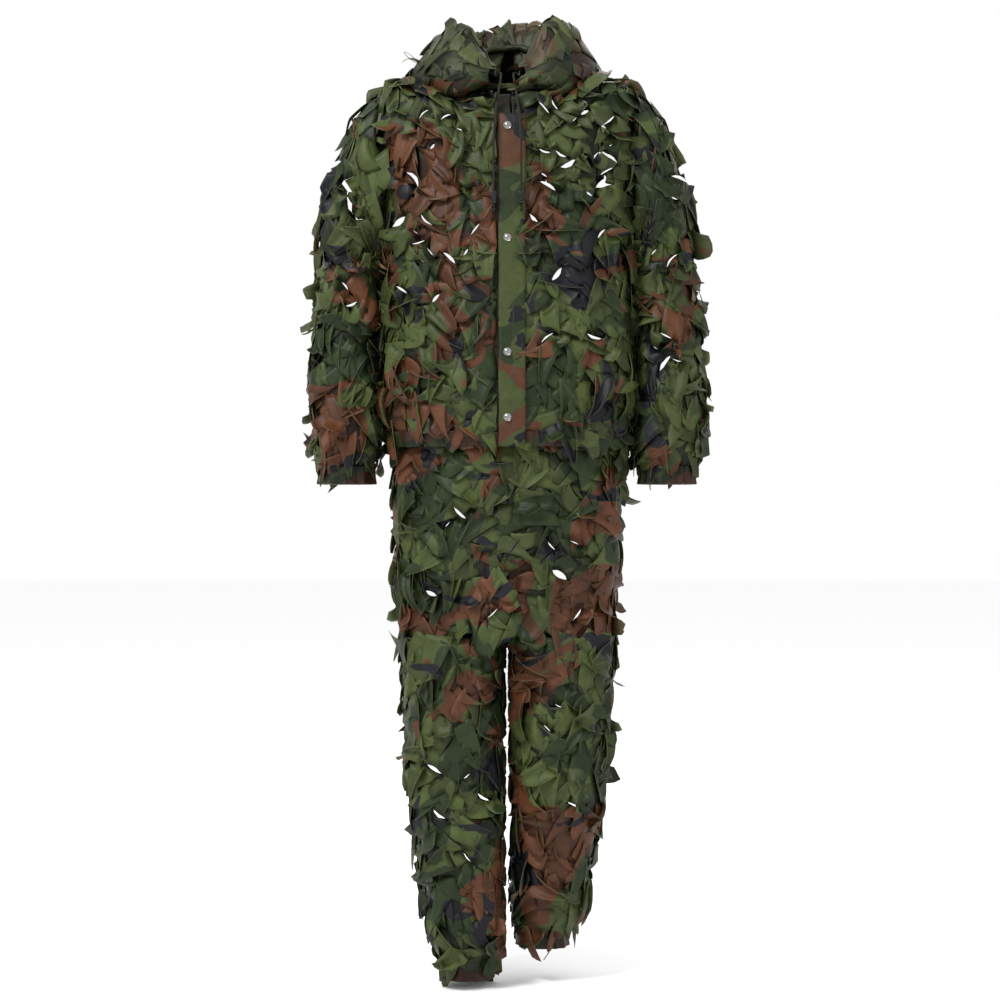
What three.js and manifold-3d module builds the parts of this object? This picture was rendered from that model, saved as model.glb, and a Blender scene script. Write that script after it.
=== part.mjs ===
// A two-piece leaf-camouflage suit, jacket with hood over trousers, hanging as it is worn.
// Millimetres. +Z up, the front faces -Y, the wearer's left is +X, and the origin is the centre
// of the neck opening. Cloth is held as soft walls of even thickness, hollow where a body goes in.
import * as THREE from 'three';
import { ParametricGeometry } from 'three/addons/geometries/ParametricGeometry.js';
import { mergeVertices } from 'three/addons/utils/BufferGeometryUtils.js';
import Module from 'manifold-3d';

const wasm = await Module();
wasm.setup();

// ---- Driving dimensions -------------------------------------------------------------------
const CLOTH = 6; // leaf cloth, base layer and leaves together
const GAP = 0.4; // between pieces that are sewn or pressed together
const SEAM_GAP = 0.6; // between two garment sections that turn against each other

const NECK_HALF_WIDTH = 78;
const NECK_HALF_DEPTH = 72;
const NECK_BACKSET = 8; // the neck's centre lies behind the chest's
const NECK_BAND_HEIGHT = 10;

const CHEST_HALF_WIDTH = 209;
const CHEST_HALF_DEPTH = 134;
const CHEST_SQUARENESS = 3; // 2 is an ellipse, larger is boxier
const SHOULDER_DROP = 50;
const ARMPIT_DROP = 292;
const JACKET_LENGTH = 594;
const HEM_HEIGHT = 27.5;
const HEM_TAKE_IN = 14; // how far the elastic draws the hem in from the chest

const FLAP_HINGE = 140; // the fronts fold open about lines this far either side of the middle
const FLAP_TOP = 215; // the fronts are free to open below this
const PLACKET_TOP = 48;
const PLACKET_EDGE = 15; // the placket's free edge, beyond the middle
const PLACKET_SEAM = 30; // its sewn edge
const LEFT_FRONT_EDGE = 15.3;
const RIGHT_FRONT_EDGE = 6;
const UNDER_PLACKET = { from: -12, inner: 0.4, outer: 2.4 };
const PLACKET = { inner: 3.4, outer: 6.4 };
const TOP_SNAP_DROP = 71;
const CHEST_SNAP_DROP = 255;
const WAIST_SNAP_DROP = 440;
const LAST_SNAP_RISE = 49; // above the hem's edge
const SNAP_RADIUS = 6.5;

const SLEEVE_TOP_DROP = 38;
const SLEEVE_OUTSIDE = 113; // the upper sleeve's width beyond the chest
const SLEEVE_HALF_DEPTH = 72;
const ARMHOLE = { halfHeight: 108, halfDepth: 60, centreDrop: 170 };
const ELBOW_DROP = 385;
const SLEEVE_END_DROP = 622;
const CUFF_HEIGHT = 33;
const CUFF_HALF_WIDTH = 45;
const CUFF_HALF_DEPTH = 48;

const WAIST_RISE = 89; // the trousers' waist, above the jacket's hem that covers it
const WAIST_DROP = JACKET_LENGTH - WAIST_RISE;
const WAIST_HEIGHT = 32;
const WAIST_HALF_WIDTH = 158;
const WAIST_HALF_DEPTH = 104;
const HIP_EASE = 0.8; // the jacket's elastic hem lies on the trousers
const HIP_HALF_WIDTH = 185;
const HIP_HALF_DEPTH = 112;
const CROTCH_DROP = 903;
const KNEE_DROP = 1160;
const LEG_GAP = 4; // from the middle plane to each leg at the crotch
const ANKLE_HEIGHT = 33;
const ANKLE_HALF_WIDTH = 41;
const ANKLE_HALF_DEPTH = 45;
const RIGHT_LEG = { side: -1, hemDrop: 1480, ankleX: 66, ankleY: -8 };
const LEFT_LEG = { side: 1, hemDrop: 1436, ankleX: 61, ankleY: 46 };

const HOOD_BASE = NECK_BAND_HEIGHT + CLOTH / 2 + GAP; // the middle of the hood's sewn edge
const HOOD_SLIT = 20; // half the opening between the hood's two front edges
const HOOD_CASING_INSET = 8.5; // the casing's centre, inside the hood's edge
const HOOD_CASING_RADIUS = 6;
const CORD_RADIUS = 2;
const CORD_TUNNEL_RADIUS = 3.4;
const EYELET = { inner: 2.7, outer: 6, thick: 1.5 };

const CASING = { wall: 2, channel: 3.6 }; // each elastic's tunnel, and the fabric either side
const CASING_THICK = 2 * CASING.wall + CASING.channel;
const ELASTIC_THICK = CASING.channel - 2 * 0.3;
const CASING_FOLD = 2;

const STOP = { width: 9, depth: 9.5, height: 20, bevel: 1.2, hole: 2.7, cordBack: 1.6 };
const BUTTON = { width: 4.4, height: 11, thick: 2.4, proud: 1, travel: 0.8, clear: 0.4 };
const STOP_CENTRE_DROP = 190;
const KNOT = { radius: 3.4, half: 4 };

// ---- Materials ----------------------------------------------------------------------------
const cloth = (color) => new THREE.MeshStandardMaterial({ color, roughness: 0.85, metalness: 0 });
const leafCloth = cloth(0x43522f);
const plainCloth = cloth(0x3f4b34);
const hemCloth = cloth(0x25272c);
const elastic = cloth(0x1b1b1c);
const cord = cloth(0x4c4632);
const plastic = new THREE.MeshStandardMaterial({ color: 0x0e0e10, roughness: 0.45, metalness: 0 });
const nickel = new THREE.MeshStandardMaterial({ color: 0xb9bcc0, roughness: 0.28, metalness: 1 });

const group = new THREE.Group();
function addMesh(name, geometry, material, parent = group) {
  const mesh = new THREE.Mesh(geometry, material.clone());
  mesh.name = name;
  parent.add(mesh);
  return mesh;
}

// ---- Solids -------------------------------------------------------------------------------
function toSolid(geometry) {
  const bare = geometry.clone();
  bare.deleteAttribute('normal');
  bare.deleteAttribute('uv');
  const joined = mergeVertices(bare, 1e-3);
  const corners = joined.attributes.position.array;
  const faces = joined.index.array;
  return new wasm.Manifold(new wasm.Mesh({
    numProp: 3,
    vertProperties: corners,
    triVerts: Uint32Array.from(faces),
  }));
}

function toGeometry(solid) {
  const mesh = solid.getMesh();
  const geometry = new THREE.BufferGeometry();
  geometry.setAttribute('position', new THREE.BufferAttribute(mesh.vertProperties, 3));
  geometry.setIndex(new THREE.BufferAttribute(mesh.triVerts, 1));
  geometry.computeVertexNormals();
  return geometry;
}

// Turns a closed surface's faces outwards when they point in.
function facingOut(geometry) {
  const bare = geometry.clone();
  bare.deleteAttribute('normal');
  bare.deleteAttribute('uv');
  const joined = mergeVertices(bare, 1e-3);
  const p = joined.attributes.position;
  const index = joined.index.array;
  const corner = (i) => new THREE.Vector3().fromBufferAttribute(p, index[i]);
  let volume = 0;
  for (let i = 0; i < index.length; i += 3) {
    volume += corner(i).dot(corner(i + 1).cross(corner(i + 2)));
  }
  if (volume < 0) {
    for (let i = 0; i < index.length; i += 3) {
      [index[i], index[i + 1]] = [index[i + 1], index[i]];
    }
  }
  joined.computeVertexNormals();
  return joined;
}

function boxSolid(low, high) {
  const size = high.map((value, i) => value - low[i]);
  const box = new THREE.BoxGeometry(...size);
  box.translate(...low.map((value, i) => value + size[i] / 2));
  return toSolid(box);
}

// ---- Rings: the cross-sections that a garment section is drawn through --------------------
const lerp = THREE.MathUtils.lerp;
const UP = [0, 0, 1];
const ACROSS = [1, 0, 0];

function ring(centre, halfOut, halfDeep, out = ACROSS, power = 2.4) {
  return { centre, halfOut, halfDeep, out, power };
}

function between(a, b, share) {
  const mix = (p, q) => p.map((value, i) => lerp(value, q[i], share));
  const out = new THREE.Vector3(...mix(a.out, b.out)).normalize();
  return ring(
    mix(a.centre, b.centre),
    lerp(a.halfOut, b.halfOut, share),
    lerp(a.halfDeep, b.halfDeep, share),
    out.toArray(),
    lerp(a.power, b.power, share),
  );
}

function ringAtDrop(rings, drop) {
  const below = rings.findIndex((r) => r.centre[2] < -drop);
  const i = below < 0 ? rings.length - 2 : Math.max(0, below - 1);
  const [a, b] = [rings[i], rings[i + 1]];
  return between(a, b, (-drop - a.centre[2]) / (b.centre[2] - a.centre[2]));
}

// The rings of one section from a higher drop to a lower one, ends included.
function stretch(rings, topDrop, bottomDrop) {
  const inside = rings.filter((r) => r.centre[2] < -topDrop - 0.01 && r.centre[2] > -bottomDrop + 0.01);
  return [ringAtDrop(rings, topDrop), ...inside, ringAtDrop(rings, bottomDrop)];
}

function ringPoint(r, turn, outset, target) {
  const round = 2 / r.power;
  const c = Math.cos(turn);
  const s = Math.sin(turn);
  const out = Math.sign(c) * Math.abs(c) ** round * (r.halfOut + outset);
  const deep = Math.sign(s) * Math.abs(s) ** round * (r.halfDeep + outset);
  const [x, y, z] = r.centre;
  target.set(x + out * r.out[0], y + deep, z + out * r.out[2]);
}

// A wall that runs round through the rings: out over one side and back over the other.
function wall(rings, outset, thick, around) {
  const rows = rings.length;
  const surface = (u, v, target) => {
    const row = Math.round(v * 2 * rows) % (2 * rows);
    const outer = row < rows;
    const r = outer ? rings[row] : rings[2 * rows - 1 - row];
    ringPoint(r, Math.round(u * around) % around * 2 * Math.PI / around, outer ? outset : outset - thick, target);
  };
  return facingOut(new ParametricGeometry(surface, around, 2 * rows));
}

// A folded hem open at its top, and the elastic that lies in it.
function casingSolid(rings, topDrop, bottomDrop, around) {
  const body = toSolid(wall(stretch(rings, topDrop, bottomDrop), 0, CASING_THICK, around));
  const tunnel = wall(
    stretch(rings, topDrop - CASING_FOLD, bottomDrop - CASING_FOLD), -CASING.wall, CASING.channel, around);
  return body.subtract(toSolid(tunnel));
}

function elasticSolid(rings, topDrop, bottomDrop, around) {
  const rows = stretch(rings, topDrop + GAP, bottomDrop - CASING_FOLD - 0.3);
  return toSolid(wall(rows, -CASING.wall - 0.3, ELASTIC_THICK, around));
}

const FAR = 2000;
const halfSpace = {
  left: (x) => boxSolid([x, -FAR, -FAR], [FAR, FAR, FAR]),
  right: (x) => boxSolid([-FAR, -FAR, -FAR], [x, FAR, FAR]),
  back: (y) => boxSolid([-FAR, y, -FAR], [FAR, FAR, FAR]),
  front: (y) => boxSolid([-FAR, -FAR, -FAR], [FAR, y, FAR]),
  above: (drop) => boxSolid([-FAR, -FAR, -drop], [FAR, FAR, FAR]),
  below: (drop) => boxSolid([-FAR, -FAR, -FAR], [FAR, FAR, -drop]),
};

// ---- Jacket body --------------------------------------------------------------------------
const BODY_AROUND = 28;
function torso(drop, halfWidth, halfDepth, back = 0) {
  return ring([0, back, -drop], halfWidth, halfDepth, ACROSS, CHEST_SQUARENESS);
}
const YOKE = [0.28, 0.64]; // how far down to the shoulder the yoke's two middle rings lie
const yokeRing = (share, spread, deep) => torso(
  SHOULDER_DROP * share,
  lerp(NECK_HALF_WIDTH, CHEST_HALF_WIDTH, spread),
  lerp(NECK_HALF_DEPTH, CHEST_HALF_DEPTH, deep),
  NECK_BACKSET * (1 - share),
);
const belowArmpit = (share) => lerp(ARMPIT_DROP, JACKET_LENGTH - HEM_HEIGHT, share);
const bodyRings = [
  yokeRing(0, 0, 0),
  yokeRing(YOKE[0], 0.26, 0.27),
  yokeRing(YOKE[1], 0.74, 0.52),
  torso(SHOULDER_DROP, CHEST_HALF_WIDTH, CHEST_HALF_DEPTH - 22),
  torso(SHOULDER_DROP + 14, CHEST_HALF_WIDTH, CHEST_HALF_DEPTH - 16.5),
  torso(lerp(SHOULDER_DROP, ARMPIT_DROP, 0.42), CHEST_HALF_WIDTH, CHEST_HALF_DEPTH - 6),
  torso(lerp(SHOULDER_DROP, ARMPIT_DROP, 0.77), CHEST_HALF_WIDTH, CHEST_HALF_DEPTH),
  torso(belowArmpit(0.16), CHEST_HALF_WIDTH, CHEST_HALF_DEPTH + 5),
  torso(belowArmpit(0.47), CHEST_HALF_WIDTH, CHEST_HALF_DEPTH + 8),
  torso(belowArmpit(0.8), CHEST_HALF_WIDTH - 1, CHEST_HALF_DEPTH + 8),
  torso(belowArmpit(0.98), CHEST_HALF_WIDTH - 6, CHEST_HALF_DEPTH + 2),
  torso(JACKET_LENGTH, CHEST_HALF_WIDTH - HEM_TAKE_IN, CHEST_HALF_DEPTH - 6),
];
const HEM_TOP = JACKET_LENGTH - HEM_HEIGHT;

const bodyShell = (topDrop, bottomDrop, outset, thick) =>
  toSolid(wall(stretch(bodyRings, topDrop, bottomDrop), outset, thick, BODY_AROUND));

function armholeCutter(side) {
  const hole = new THREE.CylinderGeometry(1, 1, 60, 16);
  hole.rotateZ(Math.PI / 2);
  hole.scale(1, ARMHOLE.halfDepth, ARMHOLE.halfHeight);
  hole.translate(side * (CHEST_HALF_WIDTH - 5), 0, -ARMHOLE.centreDrop);
  return toSolid(hole);
}

let jacketShell = bodyShell(GAP, HEM_TOP - GAP, 0, CLOTH);
for (const side of [1, -1]) {
  jacketShell = jacketShell.subtract(armholeCutter(side));
}
const hemShell = casingSolid(bodyRings, HEM_TOP, JACKET_LENGTH, BODY_AROUND);
const SIDE_SEAM = 0.3;
const frontHalf = halfSpace.front(-SIDE_SEAM);
const backHalf = halfSpace.back(SIDE_SEAM);
const flapBelow = halfSpace.below(FLAP_TOP + SEAM_GAP);
const fixedAbove = halfSpace.above(FLAP_TOP);

addMesh('jacket_back', toGeometry(jacketShell.intersect(backHalf)), leafCloth);
const leftSide = halfSpace.left(LEFT_FRONT_EDGE);
const rightSide = halfSpace.right(RIGHT_FRONT_EDGE);
const frontPieces = [
  { name: 'left', half: leftSide, sideOf: halfSpace.left(FLAP_HINGE + SEAM_GAP), flapOf: halfSpace.right(FLAP_HINGE) },
  { name: 'right', half: rightSide, sideOf: halfSpace.right(-FLAP_HINGE - SEAM_GAP), flapOf: halfSpace.left(-FLAP_HINGE) },
];
for (const { name, half, sideOf, flapOf } of frontPieces) {
  const front = jacketShell.intersect(frontHalf).intersect(half);
  const fixed = front.intersect(fixedAbove).add(front.intersect(sideOf));
  addMesh(`${name}_front_panel`, toGeometry(fixed), leafCloth);
  addMesh(`${name}_front_flap`, toGeometry(front.intersect(flapBelow).intersect(flapOf)), leafCloth);
  const hem = hemShell.intersect(half).intersect(flapOf).intersect(frontHalf);
  addMesh(`${name}_flap_hem`, toGeometry(hem), hemCloth);
}

// The back stretch of the hem goes round the sides as far as the fold lines, with its elastic.
const hemCutter = boxSolid([-FLAP_HINGE - SEAM_GAP, -FAR, -FAR], [FLAP_HINGE + SEAM_GAP, 0, FAR]);
addMesh('back_hem', toGeometry(hemShell.subtract(hemCutter)), hemCloth);
const hemElastic = elasticSolid(bodyRings, HEM_TOP, JACKET_LENGTH, BODY_AROUND);
addMesh('back_hem_elastic', toGeometry(hemElastic.subtract(hemCutter)), elastic);

// ---- Placket and snaps --------------------------------------------------------------------
function strip(topDrop, bottomDrop, fromX, toX, inner, outer) {
  const shell = bodyShell(topDrop, bottomDrop, outer, outer - inner);
  return shell.intersect(boxSolid([fromX, -FAR, -FAR], [toX, 0, FAR]));
}

function chestFront(drop) {
  const r = ringAtDrop(bodyRings, drop);
  return r.centre[1] - r.halfDeep;
}

// A frame on the chest's middle line whose +Y axis points straight out of the cloth.
function chestFrame(drop) {
  const reach = 4;
  const frame = new THREE.Group();
  const rise = chestFront(drop - reach) - chestFront(drop + reach);
  frame.position.set(0, chestFront(drop), -drop);
  frame.rotation.x = Math.PI - Math.atan2(rise, 2 * reach);
  return frame;
}

const snapDrops = [TOP_SNAP_DROP, CHEST_SNAP_DROP, WAIST_SNAP_DROP, JACKET_LENGTH - LAST_SNAP_RISE];
const SNAP_HOLE = 5;
function snapHole(drop) {
  const frame = chestFrame(drop);
  const hole = new THREE.CylinderGeometry(SNAP_HOLE, SNAP_HOLE, 30, 12);
  frame.updateMatrix();
  hole.applyMatrix4(frame.matrix);
  return toSolid(hole);
}

const placketRuns = [
  { name: 'top', from: PLACKET_TOP, to: FLAP_TOP },
  { name: 'flap', from: FLAP_TOP + SEAM_GAP, to: JACKET_LENGTH },
];
for (const run of placketRuns) {
  const over = strip(run.from, run.to, -PLACKET_EDGE, PLACKET_SEAM, PLACKET.inner, PLACKET.outer);
  const sewn = strip(run.from, run.to, LEFT_FRONT_EDGE + 0.2, PLACKET_SEAM, GAP, PLACKET.outer);
  let placket = over.add(sewn);
  for (const drop of snapDrops) {
    placket = placket.subtract(snapHole(drop));
  }
  addMesh(`placket_${run.name}`, toGeometry(placket), plainCloth);
  const under = strip(
    run.from, run.to, UNDER_PLACKET.from, RIGHT_FRONT_EDGE, UNDER_PLACKET.inner, UNDER_PLACKET.outer);
  addMesh(`under_placket_${run.name}`, toGeometry(under), plainCloth);
}

const lathe = (points, around = 12) =>
  facingOut(new THREE.LatheGeometry(points.map(([r, y]) => new THREE.Vector2(r, y)), around));
const snapCap = [[0, 6.7], [SNAP_RADIUS, 6.7], [SNAP_RADIUS, 7.4], [4.6, 8.7], [0, 9.1]];
const snapSocket = [[3.3, 3.6], [4.5, 3.6], [4.5, 6.4], [3.3, 6.4], [3.3, 3.6]];
const snapStud = [[0, 2.7], [4.2, 2.7], [4.2, 3.2], [2.2, 3.2], [2.4, 4.6], [1.6, 5], [0, 5]];
snapDrops.forEach((drop, i) => {
  const frame = chestFrame(drop);
  group.add(frame);
  addMesh(`snap_cap_${i + 1}`, lathe(snapCap), nickel, frame);
  addMesh(`snap_socket_${i + 1}`, lathe(snapSocket), nickel, frame);
  addMesh(`snap_stud_${i + 1}`, lathe(snapStud), nickel, frame);
});

// ---- Sleeves ------------------------------------------------------------------------------
const SLEEVE_AROUND = 16;
const ARMPIT_X = CHEST_HALF_WIDTH + 0.5;
const ARMPIT_ROUND = 2; // the sleeve's seam stands this far off the armpit's corner
const sleeveHeight = ARMPIT_DROP - SLEEVE_TOP_DROP;

// Rings that fan about the armpit, from upright at the armhole to level under the arm.
function fanRing(side, degrees, reach, halfDeep) {
  const angle = THREE.MathUtils.degToRad(degrees);
  const out = [side * Math.sin(angle), 0, Math.cos(angle)];
  const middle = (reach + ARMPIT_ROUND) / 2;
  const centre = [side * ARMPIT_X + out[0] * middle, 0, -ARMPIT_DROP + out[2] * middle];
  return ring(centre, (reach - ARMPIT_ROUND) / 2, halfDeep, out);
}

function sleeveRing(side, drop, inner, outer, halfDeep, forward = 0) {
  const middle = side * (CHEST_HALF_WIDTH + (inner + outer) / 2);
  return ring([middle, -forward, -drop], (outer - inner) / 2, halfDeep, [side, 0, 0]);
}

function armRings(side) {
  const out = SLEEVE_OUTSIDE;
  return [
    fanRing(side, 0, sleeveHeight, SLEEVE_HALF_DEPTH + 10),
    fanRing(side, 7, sleeveHeight * 0.985, SLEEVE_HALF_DEPTH + 10),
    fanRing(side, 14, sleeveHeight * 0.88, SLEEVE_HALF_DEPTH + 8),
    fanRing(side, 24, sleeveHeight * 0.725, SLEEVE_HALF_DEPTH + 6),
    fanRing(side, 40, lerp(sleeveHeight, out, 0.76), SLEEVE_HALF_DEPTH + 3),
    fanRing(side, 63, lerp(sleeveHeight, out, 0.98), SLEEVE_HALF_DEPTH),
    sleeveRing(side, ARMPIT_DROP, 2.5, out - 8, SLEEVE_HALF_DEPTH),
    sleeveRing(side, ELBOW_DROP, 3, out, SLEEVE_HALF_DEPTH, 2),
  ];
}

const cuffCentre = (SLEEVE_OUTSIDE + 4) / 2;
function forearmRings(side) {
  const out = SLEEVE_OUTSIDE;
  const down = (share) => lerp(ELBOW_DROP, SLEEVE_END_DROP, share);
  const cuff = (drop, grow) => sleeveRing(
    side, drop, cuffCentre - CUFF_HALF_WIDTH - grow, cuffCentre + CUFF_HALF_WIDTH + grow, CUFF_HALF_DEPTH + grow, 14);
  return [
    sleeveRing(side, ELBOW_DROP, 3, out, SLEEVE_HALF_DEPTH, 2),
    sleeveRing(side, down(0.4), 2, out + 3, SLEEVE_HALF_DEPTH + 1, 6),
    sleeveRing(side, down(0.75), 0.5, out + 6, SLEEVE_HALF_DEPTH, 11),
    sleeveRing(side, down(0.92), 5, out + 1, SLEEVE_HALF_DEPTH - 8, 13),
    cuff(SLEEVE_END_DROP, 0),
    cuff(SLEEVE_END_DROP + CUFF_HEIGHT, 2),
  ];
}

for (const [name, side] of [['left', 1], ['right', -1]]) {
  const upper = armRings(side);
  const elbowRing = upper.pop();
  const rows = [...upper, between(upper[upper.length - 1], elbowRing, 0.995)];
  addMesh(`${name}_upper_sleeve`, wall(rows, 0, CLOTH, SLEEVE_AROUND), leafCloth);
  const rings = forearmRings(side);
  const forearm = stretch(rings, ELBOW_DROP + SEAM_GAP / 2, SLEEVE_END_DROP - GAP);
  addMesh(`${name}_forearm_sleeve`, wall(forearm, 0, CLOTH, SLEEVE_AROUND), leafCloth);
  const end = SLEEVE_END_DROP + CUFF_HEIGHT;
  addMesh(`${name}_cuff`, toGeometry(casingSolid(rings, SLEEVE_END_DROP, end, SLEEVE_AROUND)), hemCloth);
  addMesh(`${name}_cuff_elastic`, toGeometry(elasticSolid(rings, SLEEVE_END_DROP, end, SLEEVE_AROUND)), elastic);
}

// ---- Trousers -----------------------------------------------------------------------------
const TROUSER_AROUND = 24;
const LEG_AROUND = 16;
const hemInside = CHEST_HALF_WIDTH - HEM_TAKE_IN - CASING_THICK;
const hipRing = (drop, halfWidth, halfDepth, back = 0) => ring([0, back, -drop], halfWidth, halfDepth, ACROSS, 2.6);
const hipRings = [
  hipRing(WAIST_DROP, WAIST_HALF_WIDTH, WAIST_HALF_DEPTH),
  hipRing(WAIST_DROP + WAIST_HEIGHT, WAIST_HALF_WIDTH, WAIST_HALF_DEPTH),
  hipRing(JACKET_LENGTH, hemInside - HIP_EASE, HIP_HALF_DEPTH - 2),
  hipRing(lerp(JACKET_LENGTH, CROTCH_DROP, 0.25), HIP_HALF_WIDTH, HIP_HALF_DEPTH),
  hipRing(lerp(JACKET_LENGTH, CROTCH_DROP, 0.62), HIP_HALF_WIDTH - 4, HIP_HALF_DEPTH - 4),
  hipRing(CROTCH_DROP, HIP_HALF_WIDTH - 9, HIP_HALF_DEPTH - 12),
];
const WAIST_BOTTOM = WAIST_DROP + WAIST_HEIGHT;
const seatShell = toSolid(wall(stretch(hipRings, WAIST_BOTTOM + GAP, CROTCH_DROP - SEAM_GAP / 2), 0, CLOTH, TROUSER_AROUND));
addMesh('trousers_left_half', toGeometry(seatShell.intersect(halfSpace.left(GAP / 2))), leafCloth);
addMesh('trousers_right_half', toGeometry(seatShell.intersect(halfSpace.right(-GAP / 2))), leafCloth);
addMesh('waist_casing', toGeometry(casingSolid(hipRings, WAIST_DROP, WAIST_BOTTOM, TROUSER_AROUND)), hemCloth);
addMesh('waist_elastic', toGeometry(elasticSolid(hipRings, WAIST_DROP, WAIST_BOTTOM, TROUSER_AROUND)), elastic);

function legRings({ side, hemDrop, ankleX, ankleY }) {
  const top = HIP_HALF_WIDTH - 9;
  const shinTo = hemDrop - ANKLE_HEIGHT;
  const legRing = (drop, inner, outer, halfDeep, y) =>
    ring([side * (inner + outer) / 2, y, -drop], (outer - inner) / 2, halfDeep);
  const down = (share) => lerp(KNEE_DROP, shinTo, share);
  const ankle = (drop, grow) =>
    ring([side * ankleX, ankleY, -drop], ANKLE_HALF_WIDTH + grow, ANKLE_HALF_DEPTH + grow);
  return [
    legRing(CROTCH_DROP, LEG_GAP, top, HIP_HALF_DEPTH - 14, 0),
    legRing(lerp(CROTCH_DROP, KNEE_DROP, 0.4), LEG_GAP + 5, top - 10, HIP_HALF_DEPTH - 20, 0),
    legRing(KNEE_DROP, LEG_GAP + 9, top - 20, HIP_HALF_DEPTH - 26, 0),
    legRing(down(0.35), LEG_GAP + 10, top - 27, HIP_HALF_DEPTH - 30, ankleY * 0.35),
    legRing(down(0.7), LEG_GAP + 11, top - 44, HIP_HALF_DEPTH - 40, ankleY * 0.7),
    legRing(down(0.9), LEG_GAP + 9, top - 50, HIP_HALF_DEPTH - 44, ankleY * 0.9),
    ankle(shinTo, 0),
    ankle(hemDrop, 1.5),
  ];
}

for (const [name, leg] of [['left', LEFT_LEG], ['right', RIGHT_LEG]]) {
  const rings = legRings(leg);
  const shinTo = leg.hemDrop - ANKLE_HEIGHT;
  const thigh = stretch(rings, CROTCH_DROP + SEAM_GAP / 2, KNEE_DROP - SEAM_GAP / 2);
  const shin = stretch(rings, KNEE_DROP + SEAM_GAP / 2, shinTo - GAP);
  addMesh(`${name}_thigh`, wall(thigh, 0, CLOTH, LEG_AROUND), leafCloth);
  addMesh(`${name}_shin`, wall(shin, 0, CLOTH, LEG_AROUND), leafCloth);
  addMesh(`${name}_ankle_casing`, toGeometry(casingSolid(rings, shinTo, leg.hemDrop, LEG_AROUND)), hemCloth);
  addMesh(`${name}_ankle_elastic`, toGeometry(elasticSolid(rings, shinTo, leg.hemDrop, LEG_AROUND)), elastic);
}

// ---- Neck band and hood -------------------------------------------------------------------
const neckRing = (height) =>
  ring([0, NECK_BACKSET, height], NECK_HALF_WIDTH, NECK_HALF_DEPTH, ACROSS, 2);
const bandShell = toSolid(wall([neckRing(NECK_BAND_HEIGHT), neckRing(0)], 0, CLOTH, BODY_AROUND));
const throat = boxSolid([-HOOD_SLIT, -FAR, -FAR], [HOOD_SLIT, 0, FAR]);
addMesh('neck_band', toGeometry(bandShell.subtract(throat)), plainCloth);

// The hood's cut through one upright plane at the back: out from the neck, up and rolled in.
const HOOD_LINE = [[0, 0], [38, 3], [76, 22], [88, 58], [74, 96], [46, 115], [20, 106], [6, 84], [2, 60]];
const hoodLine = new THREE.SplineCurve(HOOD_LINE.map(([out, up]) => new THREE.Vector2(out, up)));
const HOOD_STEPS = 9;
const hoodReach = (turn) => 0.25 + 0.75 * Math.sin(Math.min(turn, Math.PI / 2));
const hoodRise = (turn) => 0.2 + 0.8 * (1 - Math.cos(turn)) / 2;

// turn is counted from the throat, round either side to the back of the neck.
function hoodPoint(turn, out, up, target) {
  const folded = Math.abs(Math.atan2(Math.sin(turn), Math.cos(turn)));
  const reach = out * hoodReach(folded);
  target.set(
    (NECK_HALF_WIDTH + reach) * Math.sin(turn),
    NECK_BACKSET - (NECK_HALF_DEPTH + reach) * Math.cos(turn),
    HOOD_BASE + up * hoodRise(folded),
  );
}

const HOOD_AROUND = 24;
function hoodSurface(u, v, target) {
  const turn = Math.round(u * HOOD_AROUND) % HOOD_AROUND * 2 * Math.PI / HOOD_AROUND;
  const folded = Math.abs(Math.atan2(Math.sin(turn), Math.cos(turn)));
  const row = Math.round(v * 2 * HOOD_STEPS) % (2 * HOOD_STEPS);
  const outer = row < HOOD_STEPS;
  const share = (outer ? row : 2 * HOOD_STEPS - 1 - row) / (HOOD_STEPS - 1);
  const p = hoodLine.getPoint(share);
  const along = hoodLine.getTangent(share);
  const scaled = new THREE.Vector2(along.x * hoodReach(folded), along.y * hoodRise(folded)).normalize();
  const off = (outer ? 1 : -1) * CLOTH / 2;
  const out = p.x + off * scaled.y / hoodReach(folded);
  const up = p.y - off * scaled.x / hoodRise(folded);
  hoodPoint(turn, out, up, target);
}
const hoodShell = toSolid(facingOut(new ParametricGeometry(hoodSurface, HOOD_AROUND, 2 * HOOD_STEPS)))
  .subtract(throat);
addMesh('hood_left', toGeometry(hoodShell.intersect(halfSpace.left(GAP / 2))), leafCloth);
addMesh('hood_right', toGeometry(hoodShell.intersect(halfSpace.right(-GAP / 2))), leafCloth);

// The face edge: a hollow casing, the cord in it, and an eyelet at each end.
class FaceEdge extends THREE.Curve {
  constructor(from) {
    super();
    this.from = THREE.MathUtils.degToRad(from);
  }
  getPoint(t, target = new THREE.Vector3()) {
    const turn = lerp(this.from, 2 * Math.PI - this.from, t);
    const folded = Math.abs(Math.atan2(Math.sin(turn), Math.cos(turn)));
    hoodPoint(turn, -HOOD_CASING_INSET / hoodReach(folded), HOOD_LINE[HOOD_LINE.length - 1][1], target);
    return target;
  }
}
const CASING_FROM = 17; // degrees from the throat
const EYELET_BEFORE = 1.58; // from the casing's end to the eyelet's middle, along the face edge
const CORD_BEFORE = 4.25; // and to the drawcord's end
const edgeDegrees = (length) => THREE.MathUtils.radToDeg(length / (NECK_HALF_WIDTH - HOOD_CASING_INSET));
const EYELET_FROM = CASING_FROM - edgeDegrees(EYELET_BEFORE);
const CORD_FROM = CASING_FROM - edgeDegrees(CORD_BEFORE);
function tube(path, radius, sides, steps, hole = 0) {
  const circle = (r, clockwise) => Array.from({ length: sides }, (_, i) => {
    const angle = (clockwise ? -1 : 1) * 2 * Math.PI * i / sides;
    return new THREE.Vector2(r * Math.cos(angle), r * Math.sin(angle));
  });
  const section = new THREE.Shape(circle(radius, false));
  if (hole) {
    section.holes.push(new THREE.Path(circle(hole, true)));
  }
  return facingOut(new THREE.ExtrudeGeometry(section, { extrudePath: path, steps }));
}
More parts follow.
